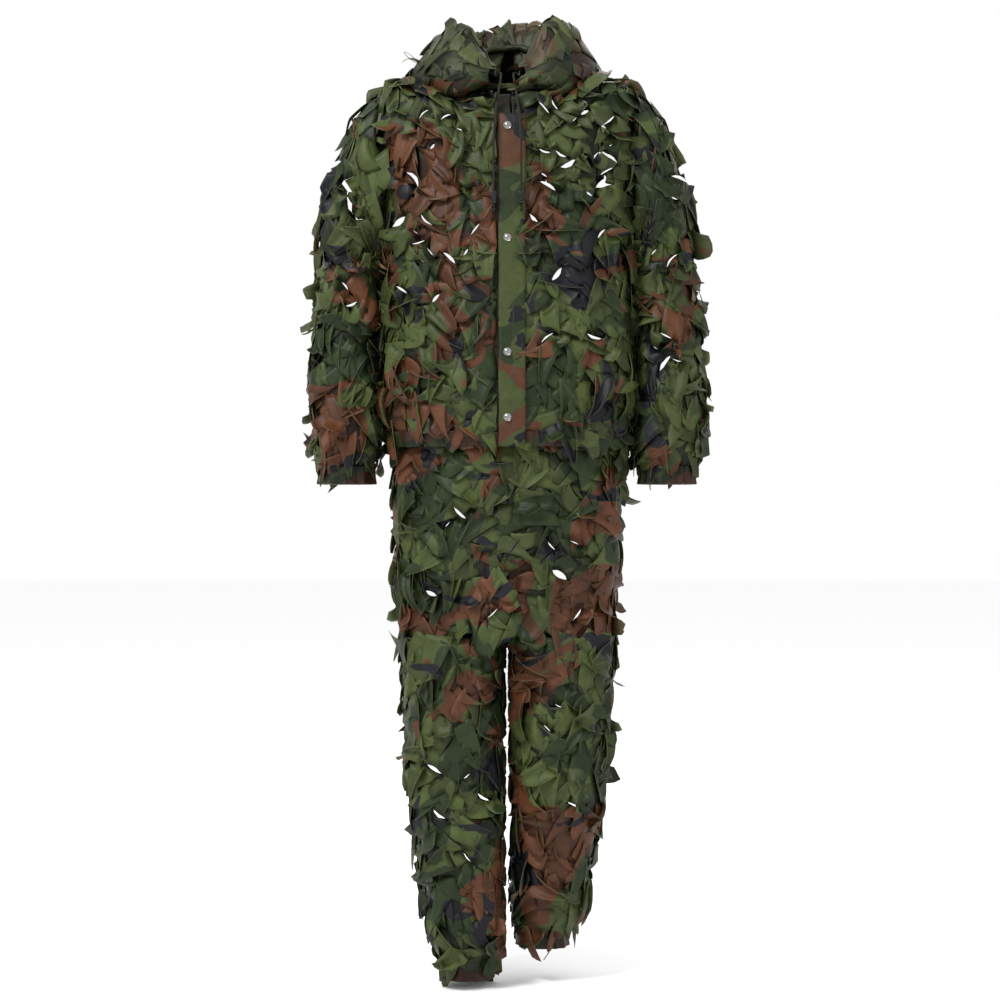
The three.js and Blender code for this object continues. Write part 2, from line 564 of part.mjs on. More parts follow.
addMesh('hood_edge_casing', tube(new FaceEdge(CASING_FROM), HOOD_CASING_RADIUS, 8, 24, CORD_TUNNEL_RADIUS), plainCloth);
addMesh('hood_drawcord', tube(new FaceEdge(CORD_FROM), CORD_RADIUS, 8, 36), cord);
const eyeletSection = [
  [EYELET.inner, -EYELET.thick / 2], [EYELET.outer, -EYELET.thick / 2],
  [EYELET.outer, EYELET.thick / 2], [EYELET.inner, EYELET.thick / 2], [EYELET.inner, -EYELET.thick / 2],
];
const eyeletPath = new FaceEdge(EYELET_FROM);
for (const [name, t] of [['left', 0], ['right', 1]]) {
  const mesh = addMesh(`${name}_eyelet`, lathe(eyeletSection), nickel);
  mesh.position.copy(eyeletPath.getPoint(t));
  mesh.quaternion.setFromUnitVectors(new THREE.Vector3(0, 1, 0), eyeletPath.getTangent(t));
}

// ---- The drawcord's free ends, their stops and knots ----------------------------------------
const CORD_HANG_Y = -145;
const leftCordRoute = [
  [15.9, -55.2, 26.3], [12.6, -58, 26.2], [10.6, -64, 24.6], [10.6, -73, 18], [12, -84, 6.5],
  [14, -96, -7.5], [16, -108, -23], [18, -121, -40], [20, -133, -60], [21.5, -141, -83],
  [22.3, -144.4, -104], [22.5, CORD_HANG_Y, -122], [22.5, CORD_HANG_Y, -146], [22.5, CORD_HANG_Y, -172],
  [22.5, CORD_HANG_Y, -192], [22.5, CORD_HANG_Y, -205.5],
];
for (const [name, side] of [['left', 1], ['right', -1]]) {
  const points = leftCordRoute.map(([x, y, z]) => new THREE.Vector3(side * x, y, z));
  const path = new THREE.CatmullRomCurve3(points, false, 'centripetal');
  const [x, y, z] = points[points.length - 1].toArray();
  addMesh(`${name}_cord`, tube(path, CORD_RADIUS, 8, 34), cord);
  const knot = [[0, -KNOT.half], [2.4, -3.2], [KNOT.radius, 0], [2.4, 3.2], [0, KNOT.half]];
  addMesh(`${name}_cord_knot`, lathe(knot, 8).rotateX(Math.PI / 2), cord)
    .position.set(x, y, z - KNOT.half - 0.3);

  const outline = new THREE.Shape();
  const [w, h] = [STOP.width / 2, STOP.depth / 2];
  const b = STOP.bevel * 2;
  outline.moveTo(-w + b, -h).lineTo(w - b, -h).lineTo(w, -h + b).lineTo(w, h - b)
    .lineTo(w - b, h).lineTo(-w + b, h).lineTo(-w, h - b).lineTo(-w, -h + b);
  const barrel = new THREE.ExtrudeGeometry(outline, { depth: STOP.height, bevelEnabled: false });
  barrel.translate(0, -STOP.cordBack, -STOP.height / 2);
  const bore = new THREE.CylinderGeometry(STOP.hole, STOP.hole, STOP.height + 4, 12).rotateX(Math.PI / 2);
  const front = -STOP.cordBack - h;
  const deep = BUTTON.thick - BUTTON.proud + BUTTON.travel + BUTTON.clear;
  const pocket = boxSolid(
    [-BUTTON.width / 2 - BUTTON.clear, front - 5, -BUTTON.height / 2 - BUTTON.clear],
    [BUTTON.width / 2 + BUTTON.clear, front + deep, BUTTON.height / 2 + BUTTON.clear],
  );
  const stop = toSolid(barrel).subtract(toSolid(bore)).subtract(pocket);
  const place = new THREE.Group();
  place.position.set(x, CORD_HANG_Y, -STOP_CENTRE_DROP);
  group.add(place);
  addMesh(`${name}_cord_stop`, toGeometry(stop), plastic, place);
  const button = new THREE.BoxGeometry(BUTTON.width, BUTTON.thick, BUTTON.height);
  addMesh(`${name}_stop_button`, button, plastic, place)
    .position.set(0, front - BUTTON.proud + BUTTON.thick / 2, 0);
}

export default group;
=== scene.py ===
# %% [markdown]
# # A leaf-camouflage suit
# The suit is a hooded jacket over trousers. Its cloth is slit by a laser into rows of short leaves
# that lift and curl, so the surface reads as foliage. The packed frame gives every place and size.

# %% Load the frame
import math
import bmesh
import bpy
import numpy as np
from mathutils import Matrix, Vector, noise
from mathutils.bvhtree import BVHTree


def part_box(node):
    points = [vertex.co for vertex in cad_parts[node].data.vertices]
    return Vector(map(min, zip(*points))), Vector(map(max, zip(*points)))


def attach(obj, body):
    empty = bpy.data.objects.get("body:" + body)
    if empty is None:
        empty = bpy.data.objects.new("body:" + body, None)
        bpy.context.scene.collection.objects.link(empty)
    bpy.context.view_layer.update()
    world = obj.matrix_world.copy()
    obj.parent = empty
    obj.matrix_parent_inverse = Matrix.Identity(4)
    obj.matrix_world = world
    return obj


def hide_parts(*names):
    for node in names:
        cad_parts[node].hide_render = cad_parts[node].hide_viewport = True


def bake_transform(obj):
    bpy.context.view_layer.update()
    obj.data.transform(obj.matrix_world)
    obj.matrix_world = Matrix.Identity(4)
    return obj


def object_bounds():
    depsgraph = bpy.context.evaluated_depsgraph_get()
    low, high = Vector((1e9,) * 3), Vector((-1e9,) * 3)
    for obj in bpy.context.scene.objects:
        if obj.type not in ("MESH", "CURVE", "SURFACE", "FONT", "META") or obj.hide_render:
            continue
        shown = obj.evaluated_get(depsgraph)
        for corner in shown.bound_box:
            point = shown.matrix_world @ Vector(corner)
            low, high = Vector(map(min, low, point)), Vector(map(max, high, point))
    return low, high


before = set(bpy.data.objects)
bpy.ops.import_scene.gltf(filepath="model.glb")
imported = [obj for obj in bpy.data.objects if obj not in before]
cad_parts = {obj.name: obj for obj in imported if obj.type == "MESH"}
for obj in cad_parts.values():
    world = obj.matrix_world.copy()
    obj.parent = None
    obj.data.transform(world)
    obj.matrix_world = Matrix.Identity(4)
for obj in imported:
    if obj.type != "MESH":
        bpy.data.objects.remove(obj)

cad_low, cad_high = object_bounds()
print("suit box", [round(x, 3) for x in cad_low], [round(x, 3) for x in cad_high])

# %% [markdown]
# ## Camera and studio
# The suit hangs in even light before a white sweep. A short lens close by would swell the chest and
# shrink the legs, so the camera stands four metres off with a long lens, level with the suit's
# middle. Three wide area lamps and a white world keep the shadows between the leaves soft.

# %% Camera, floor and lights
CAMERA_DISTANCE = 4.0
FRAME_HEIGHT = 1.68  # metres of height and width that the camera takes in at the suit
SENSOR = 36.0
VIEW_CENTRE = Vector((-0.012, 0.0, -0.680))
FLOOR_DROP = 0.012  # the floor lies just under the lower ankle hem
LAMPS = {
    # place, power in watts and width in metres
    "key": ((-1.8, -2.6, 2.6), 190, 1.2),
    "fill": ((2.6, -2.6, 0.2), 12, 2.2),
    "back": ((0.6, 3.0, 1.8), 40, 2.0),
}

camera_data = bpy.data.cameras.new("Camera")
camera_data.sensor_width = SENSOR
camera_data.lens = SENSOR * CAMERA_DISTANCE / FRAME_HEIGHT
camera = bpy.data.objects.new("Camera", camera_data)
camera.location = VIEW_CENTRE + Vector((0, -CAMERA_DISTANCE, 0))
camera.rotation_euler = (math.radians(90), 0, 0)
bpy.context.scene.collection.objects.link(camera)
bpy.context.scene.camera = camera

def only(obj):
    """Deselects everything, then makes obj the active, selected object."""
    bpy.ops.object.select_all(action="DESELECT")
    obj.select_set(True)
    bpy.context.view_layer.objects.active = obj
    return obj

def area_light(name, place, power, size):
    """A square lamp that points at the middle of the view."""
    light = bpy.data.lights.new(name, "AREA")
    light.energy = power
    light.size = size
    lamp = bpy.data.objects.new(name, light)
    lamp.location = place
    lamp.rotation_euler = (VIEW_CENTRE - Vector(place)).to_track_quat("-Z", "Y").to_euler()
    bpy.context.scene.collection.objects.link(lamp)

print("lens", round(camera_data.lens, 1), "mm, floor at", round(cad_low.z - FLOOR_DROP, 3))
for lamp_name, numbers in LAMPS.items():
    area_light(lamp_name, *numbers)
world = bpy.data.worlds.new("Studio")
bpy.context.scene.world = world
world.use_nodes = True
world.node_tree.nodes["Background"].inputs["Color"].default_value = (1.0, 1.0, 1.0, 1)
world.node_tree.nodes["Background"].inputs["Strength"].default_value = 1.0
bpy.context.scene.view_settings.view_transform = "Standard"

bpy.ops.object.select_all(action="DESELECT")
bpy.ops.mesh.primitive_plane_add(size=40, location=(0, 0, cad_low.z - FLOOR_DROP))
floor = bpy.context.object
floor.name = "floor"

# %% [markdown]
# ## Shader maths
# A material is a graph of nodes. Adding and linking them one by one takes many lines that hide the
# thought behind them. One small class wraps a node's output instead, so that a finish is written as
# sums and products, and any other node comes from its one method.

# %% The socket class
class Socket:
    """A node's output, with arithmetic that adds Math nodes."""

    def __init__(self, tree, link):
        self.tree, self.link = tree, link

    def node(self, kind, settings=None, out=0, **inputs):
        """Adds a node. Its inputs are given by name, or by number as i0, i1 and so on."""
        made = self.tree.nodes.new(kind)
        for key, value in (settings or {}).items():
            if key == "stops":
                ramp = made.color_ramp
                while len(ramp.elements) < len(value):
                    ramp.elements.new(1.0)
                for element, (place, colour) in zip(ramp.elements, value):
                    element.position, element.color = place, colour
            elif key == "interpolation":
                made.color_ramp.interpolation = value
            else:
                setattr(made, key, value)
        for key, value in inputs.items():
            index = int(key[1:]) if key[0] == "i" and key[1:].isdigit() else key.replace("_", " ")
            socket = made.inputs[index]
            if isinstance(value, Socket):
                self.tree.links.new(value.link, socket)
            else:
                socket.default_value = value
        return Socket(self.tree, made.outputs[out])

    def maths(self, operation, a, b=0.0):
        """One Math node on two sockets or numbers."""
        return self.node("ShaderNodeMath", {"operation": operation}, i0=a, i1=b)

    def __add__(self, other):
        return self.maths("ADD", self, other)

    def __radd__(self, other):
        return self.maths("ADD", other, self)

    def __sub__(self, other):
        return self.maths("SUBTRACT", self, other)

    def __rsub__(self, other):
        return self.maths("SUBTRACT", other, self)

    def __mul__(self, other):
        return self.maths("MULTIPLY", self, other)

    def __rmul__(self, other):
        return self.maths("MULTIPLY", other, self)

    def step(self, low, high):
        """0 below low, 1 above high, and smooth between."""
        return self.node("ShaderNodeMapRange", {"interpolation_type": "SMOOTHSTEP"},
                         Value=self, From_Min=low, From_Max=high)

    def mix(self, a, b):
        """Colour a where this is 0, and b where it is 1."""
        return self.node("ShaderNodeMix", {"data_type": "RGBA"}, out=2, i0=self, i6=a, i7=b)

print("socket maths ready")

# %% [markdown]
# Every finish starts from the same shader. What is even all over is set on the shader itself, and
# what changes over the cloth is linked. Colours are written as they look on screen.

# %% The material maker
def material(name, **constants):
    """A new material: its shader's socket holder and its own constants set on the shader."""
    made = bpy.data.materials.new(name)
    made.use_nodes = True
    shader = made.node_tree.nodes["Principled BSDF"]
    for key, value in constants.items():
        shader.inputs[key.replace("_", " ")].default_value = value
    return made, shader, Socket(made.node_tree, None)


def feed(made, shader, key, socket):
    """Links a socket to one of the shader's inputs."""
    made.node_tree.links.new(socket.link, shader.inputs[key])


def linear(share):
    """A screen value from 0 to 1 as the shader's linear value."""
    return share / 12.92 if share <= 0.04045 else ((share + 0.055) / 1.055) ** 2.4


def rgb(red, green, blue):
    """A colour given as 0 to 255 on screen, in the shader's linear values."""
    return (linear(red / 255), linear(green / 255), linear(blue / 255), 1.0)

print("mid grey is", [round(v, 3) for v in rgb(128, 128, 128)])

# %% [markdown]
# ## The camouflage print
# The cloth is a thin polyester taffeta printed in four colours: a mid green ground, dark green,
# brown and a near-black navy. A picture of the print would blur up close, so the blots are noise,
# cut off sharply, one colour laid over the next as the printer's rollers lay them.
# The print reads each piece's own flat coordinates in metres, so a leaf carries the blot that it
# was cut from when it lifts. A second map on the leaves makes each whole leaf lighter or darker:
# painted sheen and shade, standing in for the light on leaves turned different ways. The reverse of
# the cloth shows the same print, paler.

# %% Camouflage materials
GREEN = rgb(51, 60, 28)
DARK_GREEN = rgb(27, 38, 15)
BROWN = rgb(68, 39, 22)
NAVY = rgb(13, 14, 20)
REVERSE = rgb(84, 88, 58)
FADED = rgb(118, 108, 26)
WEAR_AND_PAINTED_SHEEN = [(0.3, (0.62, 0.62, 0.6, 1)), (0.7, (1.3, 1.3, 1.22, 1))]  # how wear lightens and darkens the print's colours, together with painted sheen and shade from leaf to leaf
WEAVE_SCALE = 420.0

def blots(s, place, scale, seed, cut, soft=0.005):
    """One colour's blots: 1 where the noise is above the cut, and 0 elsewhere."""
    moved = s.node("ShaderNodeMapping", i0=place, i1=(seed, seed * 0.37, 0))
    field = s.node("ShaderNodeTexNoise", Vector=moved, Scale=scale, Detail=2.0, Roughness=0.45,
                   Distortion=0.9)
    return field.step(cut - soft, cut + soft)

def camouflage(name, paler=0.0, bump=0.25, dim=1.0, reverse=REVERSE, by_leaf=False):
    """The print with its wear and painted sheen and shade, weave and crumple. Paler is how far it goes
    towards the reverse.
    """
    made, shader, s = material(name, Roughness=0.5, Sheen_Weight=0.01, Sheen_Roughness=0.4)
    shader.inputs["Specular IOR Level"].default_value = 0.2
    place = s.node("ShaderNodeUVMap", {"uv_map": "print"})
    ground = blots(s, place, 9.0, 3.1, 0.53).mix(GREEN, DARK_GREEN)
    brown = blots(s, place, 7.5, 17.7, 0.56).mix(ground, BROWN)
    printed = blots(s, place, 10.0, 41.3, 0.615).mix(brown, NAVY)
    # The wear noise lightens and darkens the print in patches: partly wear, partly painted sheen and shade
    # for the light on differently turned leaves.
    wear_and_sheen_noise = s.node("ShaderNodeTexNoise", Vector=place, Scale=60.0, Detail=4.0, Roughness=0.6)
    worn_and_painted_sheen = s.node("ShaderNodeValToRGB", {"stops": WEAR_AND_PAINTED_SHEEN}, Fac=wear_and_sheen_noise)
    shade = s.node("ShaderNodeMix", {"data_type": "RGBA", "blend_type": "MULTIPLY"}, out=2, i0=0.7,
                   i6=printed, i7=worn_and_painted_sheen)
    faded = s.node("ShaderNodeMix", {"data_type": "RGBA"}, out=2, i0=paler, i6=shade, i7=reverse)
    # dim darkens the whole print: painted shade, for cloth that lies in shade under leaves or overhanging
    # cloth.
    dimmed = s.node("ShaderNodeMix", {"data_type": "RGBA", "blend_type": "MULTIPLY"}, out=2, i0=1.0,
                    i6=faded, i7=(dim, dim, dim, 1))
    if by_leaf:
        # Each leaf is made lighter or darker as a whole: painted sheen and shade.
        leaf_shading = s.node("ShaderNodeSeparateXYZ", Vector=s.node("ShaderNodeUVMap", {"uv_map": "leaf"}))
        dimmed = s.node("ShaderNodeVectorMath", {"operation": "SCALE"}, i0=dimmed, Scale=1 + leaf_shading)
    feed(made, shader, "Base Color", dimmed)
    weave_u, weave_v = [s.node("ShaderNodeTexWave", {"bands_direction": way}, Vector=place,
                               Scale=WEAVE_SCALE, Distortion=0.6) for way in "XY"]
    crumple = s.node("ShaderNodeTexNoise", Vector=place, Scale=38.0, Detail=3.0, Roughness=0.55)
    height = weave_u * 0.03 + weave_v * 0.03 + crumple * 1.6
    normal = s.node("ShaderNodeBump", Height=height, Strength=bump, Distance=0.004)
    feed(made, shader, "Normal", normal)
    feed(made, shader, "Roughness", 0.40 + wear_and_sheen_noise * 0.18)
    return made

leaf_face = camouflage("leaf cloth face", by_leaf=True)
leaf_reverse = camouflage("leaf cloth reverse", paler=0.32, by_leaf=True)
plain_print = camouflage("plain cloth", bump=0.12)
# The hems, the under placket and the hood's face edge are darkened to 0.42 of the print: painted shade.
shade_darkened_print = camouflage("cloth darkened as painted shade", bump=0.15, dim=0.42)
# The leaves' rims are painted paler: partly the paler cut edge of the cloth, partly a painted highlight for
# the sheen along the leaves' edges.
cut_edge_and_sheen = camouflage("cut edge and painted sheen", paler=0.75, bump=0.0, by_leaf=True)
faded_leaf = camouflage("faded leaf", paler=0.85, reverse=FADED)
print("printed cloths", leaf_face.name, leaf_reverse.name, plain_print.name, shade_darkened_print.name)

# %% [markdown]
# Elastic, cord and thread are braids: ribs one way, crossed more faintly by others. The cord stops
# are moulded nylon with a fine grain and scuffs. The studs are nickel plate, slightly hazed. Each
# could be one flat colour at this size, but then it would look like a toy up close.

# %% Woven, moulded and plated finishes
def woven(name, colour, dark, scale, bump, rough=0.8):
    """A braid or thread, with ribs about 0.3 / scale metres apart."""
    made, shader, s = material(name, Roughness=rough, Sheen_Weight=0.05)
    shader.inputs["Specular IOR Level"].default_value = 0.15
    place = s.node("ShaderNodeUVMap", {"uv_map": "print"})
    ribs = s.node("ShaderNodeTexWave", {"bands_direction": "X"}, Vector=place, Scale=scale, Distortion=0.8,
                  Detail=1.0)
    cross = s.node("ShaderNodeTexWave", {"bands_direction": "DIAGONAL"}, Vector=place, Scale=scale * 0.7,
                   Distortion=0.5)
    blotch = s.node("ShaderNodeTexNoise", Vector=place, Scale=45.0, Detail=4.0)
    normal = s.node("ShaderNodeBump", Height=ribs + cross * 0.6, Strength=bump, Distance=0.001)
    # The colour darkens in the grooves between the ribs as painted shade, and in random blotches.
    feed(made, shader, "Base Color", (ribs * 0.5 + blotch * 0.5).mix(dark, colour))
    feed(made, shader, "Normal", normal)
    feed(made, shader, "Roughness", rough - 0.12 + blotch * 0.2)
    return made

elastic_braid = woven("elastic", rgb(40, 40, 42), rgb(18, 18, 20), 260.0, 0.6)
cord_braid = woven("cord braid", rgb(44, 41, 26), rgb(15, 14, 8), 300.0, 0.7)
stitch_thread = woven("thread", rgb(80, 86, 62), rgb(46, 50, 36), 500.0, 0.2)

def moulded(name, colour):
    """Moulded nylon, grained and scuffed."""
    made, shader, s = material(name, Roughness=0.4)
    shader.inputs["Specular IOR Level"].default_value = 0.3
    place = s.node("ShaderNodeTexCoord", out=3)
    grain = s.node("ShaderNodeTexNoise", Vector=place, Scale=900.0, Detail=3.0)
    scuff = s.node("ShaderNodeTexNoise", Vector=place, Scale=160.0, Detail=5.0, Roughness=0.7)
    feed(made, shader, "Base Color", scuff.step(0.5, 0.75).mix(colour, (0.02, 0.02, 0.021, 1)))
    feed(made, shader, "Roughness", 0.32 + scuff * 0.25)
    feed(made, shader, "Normal", s.node("ShaderNodeBump", Height=grain, Strength=0.2, Distance=0.0002))
    return made

stop_plastic = moulded("stop plastic", (0.006, 0.006, 0.007, 1))

def plated(name):
    """Nickel plate, hazed in patches."""
    made, shader, s = material(name, Metallic=1.0, Roughness=0.25)
    place = s.node("ShaderNodeTexCoord", out=3)
    haze = s.node("ShaderNodeTexNoise", Vector=place, Scale=420.0, Detail=4.0)
    feed(made, shader, "Base Color", haze.mix((0.16, 0.16, 0.15, 1), (0.36, 0.36, 0.34, 1)))
    feed(made, shader, "Roughness", 0.14 + haze * 0.22)
    return made

snap_metal = plated("snap nickel")

floor_material = material("pale floor", Roughness=0.9, Base_Color=(0.96, 0.96, 0.96, 1))[0]
floor.data.materials.append(floor_material)
print("finishes", len(bpy.data.materials))

# %% [markdown]
# ## Drawcord
# Two ends of one braided cord leave the hood's casing at the throat and hang down the chest, each
# through a cord stop and ending in a knot. A curve with a round bevel would give a smooth hose, so
# each is a mesh tube along its route, at its real length, with the braid's ripple in its skin. The
# helpers come first: a smooth line through chosen points, a tube along a line, and a mesh.

# %% Lines, tubes and meshes
def smooth_through(points, steps=4):
    """Points along a curve through all the given points."""
    p = [np.array(q) for q in points]
    p = [2 * p[0] - p[1], *p, 2 * p[-1] - p[-2]]
    made = []
    for i in range(1, len(p) - 2):
        for t in np.arange(steps) / steps:
            a, b, c, d = p[i - 1:i + 3]
            made.append(0.5 * (2 * b + (c - a) * t + (2 * a - 5 * b + 4 * c - d) * t * t
                               + (3 * b - a - 3 * c + d) * t ** 3))
    return made + [p[-2]]

def tube_mesh(name, line, radius, sides, skin_material, ripple=None):
    """A capped tube along a line of points, with its print coordinates in metres."""
    line = np.array(line)
    ahead = np.gradient(line, axis=0)
    ahead /= np.linalg.norm(ahead, axis=1)[:, None]
    side = np.cross(ahead[0], (0.0, 0.3, 1.0))
    sides_of, ups = [], []
    for tangent in ahead:
        side = side - tangent * side.dot(tangent)
        side /= np.linalg.norm(side)
        sides_of.append(side)
        ups.append(np.cross(tangent, side))
    turn = np.arange(sides) * 2 * math.pi / sides
    along = np.concatenate([[0], np.cumsum(np.linalg.norm(np.diff(line, axis=0), axis=1))])
    verts, uvs = [], []
    for i, centre in enumerate(line):
        for j, angle in enumerate(turn):
            r = radius * (1 + (ripple(along[i], angle) if ripple else 0))
            verts.append(centre + r * (math.cos(angle) * sides_of[i] + math.sin(angle) * ups[i]))
            uvs.append((angle * radius, along[i]))
    faces = []
    for i in range(len(line) - 1):
        for j in range(sides):
            k = (j + 1) % sides
            faces.append((i * sides + j, i * sides + k, (i + 1) * sides + k, (i + 1) * sides + j))
    faces.append(tuple(reversed(range(sides))))
    faces.append(tuple((len(line) - 1) * sides + j for j in range(sides)))
    return solid_mesh(name, verts, faces, uvs, [skin_material])

def solid_mesh(name, verts, faces, uvs, materials):
    """A mesh object from points, faces and one print coordinate for each point."""
    mesh = bpy.data.meshes.new(name)
    mesh.from_pydata([tuple(v) for v in verts], [], [tuple(f) for f in faces])
    layer = mesh.uv_layers.new(name="print")
    corner = np.empty(len(mesh.loops), int)
    mesh.loops.foreach_get("vertex_index", corner)
    layer.data.foreach_set("uv", np.array(uvs, float)[corner].ravel())
    for m in materials:
        mesh.materials.append(m)
    mesh.polygons.foreach_set("use_smooth", np.full(len(mesh.polygons), True))
    made = bpy.data.objects.new(name, mesh)
    bpy.context.scene.collection.objects.link(made)
    return made

print("tube and mesh helpers ready")

# %% [markdown]
# The cord comes out under the chin, falls forward over the chest and hangs clear of the placket.
# The points are the middle line of its plain solid. The stops slide on its last, straight stretch.

# %% Drawcord ends
CORD_DIAMETER = 0.004
CORD_HANG_Y = -0.145
cord_route = [
    (0.0159, -0.0552, 0.0263), (0.0126, -0.058, 0.0262), (0.0106, -0.064, 0.0246), (0.0106, -0.073, 0.018),
    (0.012, -0.084, 0.0065), (0.014, -0.096, -0.0075), (0.016, -0.108, -0.023), (0.018, -0.121, -0.040),
    (0.020, -0.133, -0.060), (0.0215, -0.141, -0.083), (0.0223, -0.1444, -0.104),
    (0.0225, CORD_HANG_Y, -0.122), (0.0225, CORD_HANG_Y, -0.146), (0.0225, CORD_HANG_Y, -0.172),
    (0.0225, CORD_HANG_Y, -0.192), (0.0225, CORD_HANG_Y, -0.2055),
]
SIDES = (("left", 1), ("right", -1))

cords = {}

def braid(along, angle):
    """How far the plaited strands stand out, as a share of the cord's radius."""
    return 0.05 * math.sin(along * 2600 + 2 * angle) * math.cos(along * 2600 - 2 * angle)

for side_name, side in SIDES:
    line = np.array(smooth_through([(side * x, y, z) for x, y, z in cord_route]))
    piece = tube_mesh(f"{side_name}_drawcord_end", line, CORD_DIAMETER / 2, 10, cord_braid, ripple=braid)
    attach(piece, "jacket")
    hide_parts(f"{side_name}_cord")
    length = float(np.sum(np.linalg.norm(np.diff(line, axis=0), axis=1)))
    cords[side_name] = (piece, line, length)
    print(piece.name, "length", round(length, 3))

# %% [markdown]
# ## Skinning the frame
# Each cloth section follows its plain solid. A section could be a scaled cylinder, but the chest is
# oval and the sleeves bend. So rays from outside find the solid's surface, row by row, and every
# row is spread to equal steps. The cloth then has the frame's true girths.

# %% Rows of points round a solid
def surface_of(*names):
    """The surface of one or more plain solids, for rays to meet."""
    verts, faces = [], []
    for name in names:
        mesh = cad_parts[name].data
        start = len(verts)
        verts += [v.co.copy() for v in mesh.vertices]
        faces += [[start + i for i in p.vertices] for p in mesh.polygons]
    return BVHTree.FromPolygons(verts, faces)

RAY_START = 0.6
BASE_INSET = 0.005  # the base cloth lies this far inside the solid, which holds its leaves too

def ring_of_points(tree, origin, out, deep, count=240):
    """Points where rays that come in towards origin first meet the solid. Gaps are bridged."""
    angles = np.arange(count) * 2 * math.pi / count
    found = []
    for angle in angles:
        ray = Vector(out) * math.cos(angle) + Vector(deep) * math.sin(angle)
        hit = tree.ray_cast(Vector(origin) + ray * RAY_START, -ray, RAY_START)[0]
        found.append(hit)
    known = [i for i, hit in enumerate(found) if hit is not None]
    reaches = [(found[i] - Vector(origin)).length for i in known]
    reach = np.interp(np.arange(count), known, reaches, period=count)
    rays = np.outer(np.cos(angles), out) + np.outer(np.sin(angles), deep)
    return np.array(origin) + rays * reach[:, None]

def even_steps(points, count, closed):
    """The same line in count equal steps."""
    line = np.vstack([points, points[:1]]) if closed else points
    along = np.concatenate([[0], np.cumsum(np.linalg.norm(np.diff(line, axis=0), axis=1))])
    where = np.linspace(0, along[-1], count + 1)[:count] if closed else np.linspace(0, along[-1], count)
    return np.stack([np.interp(where, along, line[:, k]) for k in range(3)], 1)

def kept_stretch(points, keep):
    """The one unbroken stretch of a closed line where keep is true."""
    flags = np.array([keep(p) for p in points])
    if flags.all():
        return points
    start = next(i for i in range(len(flags)) if flags[i] and not flags[i - 1])
    order = [(start + i) % len(flags) for i in range(len(flags))]
    stop = next(i for i, j in enumerate(order) if not flags[j])
    return points[order[:stop]]

print("rays start", RAY_START, "m out")

# %% [markdown]
# A section of cloth is a table of points: rows down it, and places across it. Leaves, tapes and
# sheets all ask it the same question: where is the cloth at this share across and this distance
# down, and which way does it face? It can also be pushed out evenly, or draped in soft folds.

# %% A section of cloth
class Cloth:
    """A section of cloth: rows of points, read at any share across and distance down.

    print_at is the place on the printed bolt, in metres, that its first corner is cut from.
    """

    def __init__(self, rows, closed, print_at):
        self.rows = np.array(rows)
        self.closed = closed
        self.print_at = np.array(print_at)
        step = np.linalg.norm(np.diff(self.rows, axis=0), axis=2).mean(1)
        self.down = np.concatenate([[0], np.cumsum(step)])
        self.length = float(self.down[-1])
        wrapped = np.concatenate([self.rows, self.rows[:, :1]], 1) if closed else self.rows
        self.girths = np.linalg.norm(np.diff(wrapped, axis=1), axis=2).sum(1)
        self.girth = float(self.girths.mean())

    def at(self, across, down):
        """Places for arrays of shares across (0 to 1) and distances down in metres."""
        n = self.rows.shape[1]
        cells = n if self.closed else n - 1
        x = (np.mod(across, 1.0) if self.closed else across) * cells
        i = np.clip(np.floor(x).astype(int), 0, cells - 1)
        f = (x - i)[:, None]
        j = np.clip(np.searchsorted(self.down, down, side="right") - 1, 0, len(self.down) - 2)
        g = ((down - self.down[j]) / (self.down[j + 1] - self.down[j]))[:, None]
        k = (i + 1) % n
        top = self.rows[j, i] * (1 - f) + self.rows[j, k] * f
        low = self.rows[j + 1, i] * (1 - f) + self.rows[j + 1, k] * f
        return top * (1 - g) + low * g

    def frame_at(self, across, down):
        """Place, sideways, downward and outward directions."""
        small = 0.006
        p = self.at(across, down)
        share = small / self.girth
        high = np.minimum(across + share, 1) if not self.closed else across + share
        low = np.maximum(across - share, 0) if not self.closed else across - share
        sideways = self.at(high, down) - self.at(low, down)
        below = np.minimum(down + small, self.length)
        above = np.maximum(down - small, 0)
        downward = self.at(across, below) - self.at(across, above)
        sideways /= np.linalg.norm(sideways, axis=1)[:, None]
        outward = np.cross(downward, sideways)
        outward /= np.linalg.norm(outward, axis=1)[:, None]
        downward = np.cross(sideways, outward)
        return p, sideways, downward, outward

    def shift(self, distance):
        """Moves the whole section outwards by a distance, or inwards where it is negative."""
        across = np.arange(self.rows.shape[1]) / (self.rows.shape[1] - (0 if self.closed else 1))
        ways = [self.frame_at(across, np.full(len(across), d))[3] for d in self.down]
        self.rows = self.rows + np.array(ways) * distance
        return self

    def opened_out(self, length):
        """Counts distances as on the cloth pulled flat, where it lies folded at rest."""
        self.down = np.linspace(0, length, len(self.down))
        self.length = length
        return self

    def drape(self, depth, broad=7.0, pleats=None, seed=0.0):
        """Pushes the cloth in and out in soft folds, and in pleats towards a gathered end."""
        across = np.arange(self.rows.shape[1]) / (self.rows.shape[1] - (0 if self.closed else 1))
        for row, distance in enumerate(self.down):
            _, _, _, outward = self.frame_at(across, np.full(len(across), distance))
            push = np.zeros(len(across))
            for i, p in enumerate(self.rows[row]):
                folds = noise.noise(Vector((p[0] * broad, p[1] * broad, p[2] * broad * 0.6 + seed)))
                small = noise.noise(Vector((p[0] * 26, p[1] * 26, p[2] * 15 - seed)))
                push[i] = depth * (folds + 0.35 * small)
            if pleats:
                count, height, reach = pleats
                near = math.exp(-(self.length - distance) / reach)
                wander = np.array([noise.noise(Vector((a * 9, seed, distance * 6))) for a in across])
                push += height * near * np.sin(2 * math.pi * (count * across + 0.8 * wander))
            self.rows[row] += outward * push[:, None]
        return self

print("a section knows", [n for n in vars(Cloth) if not n.startswith("_")])

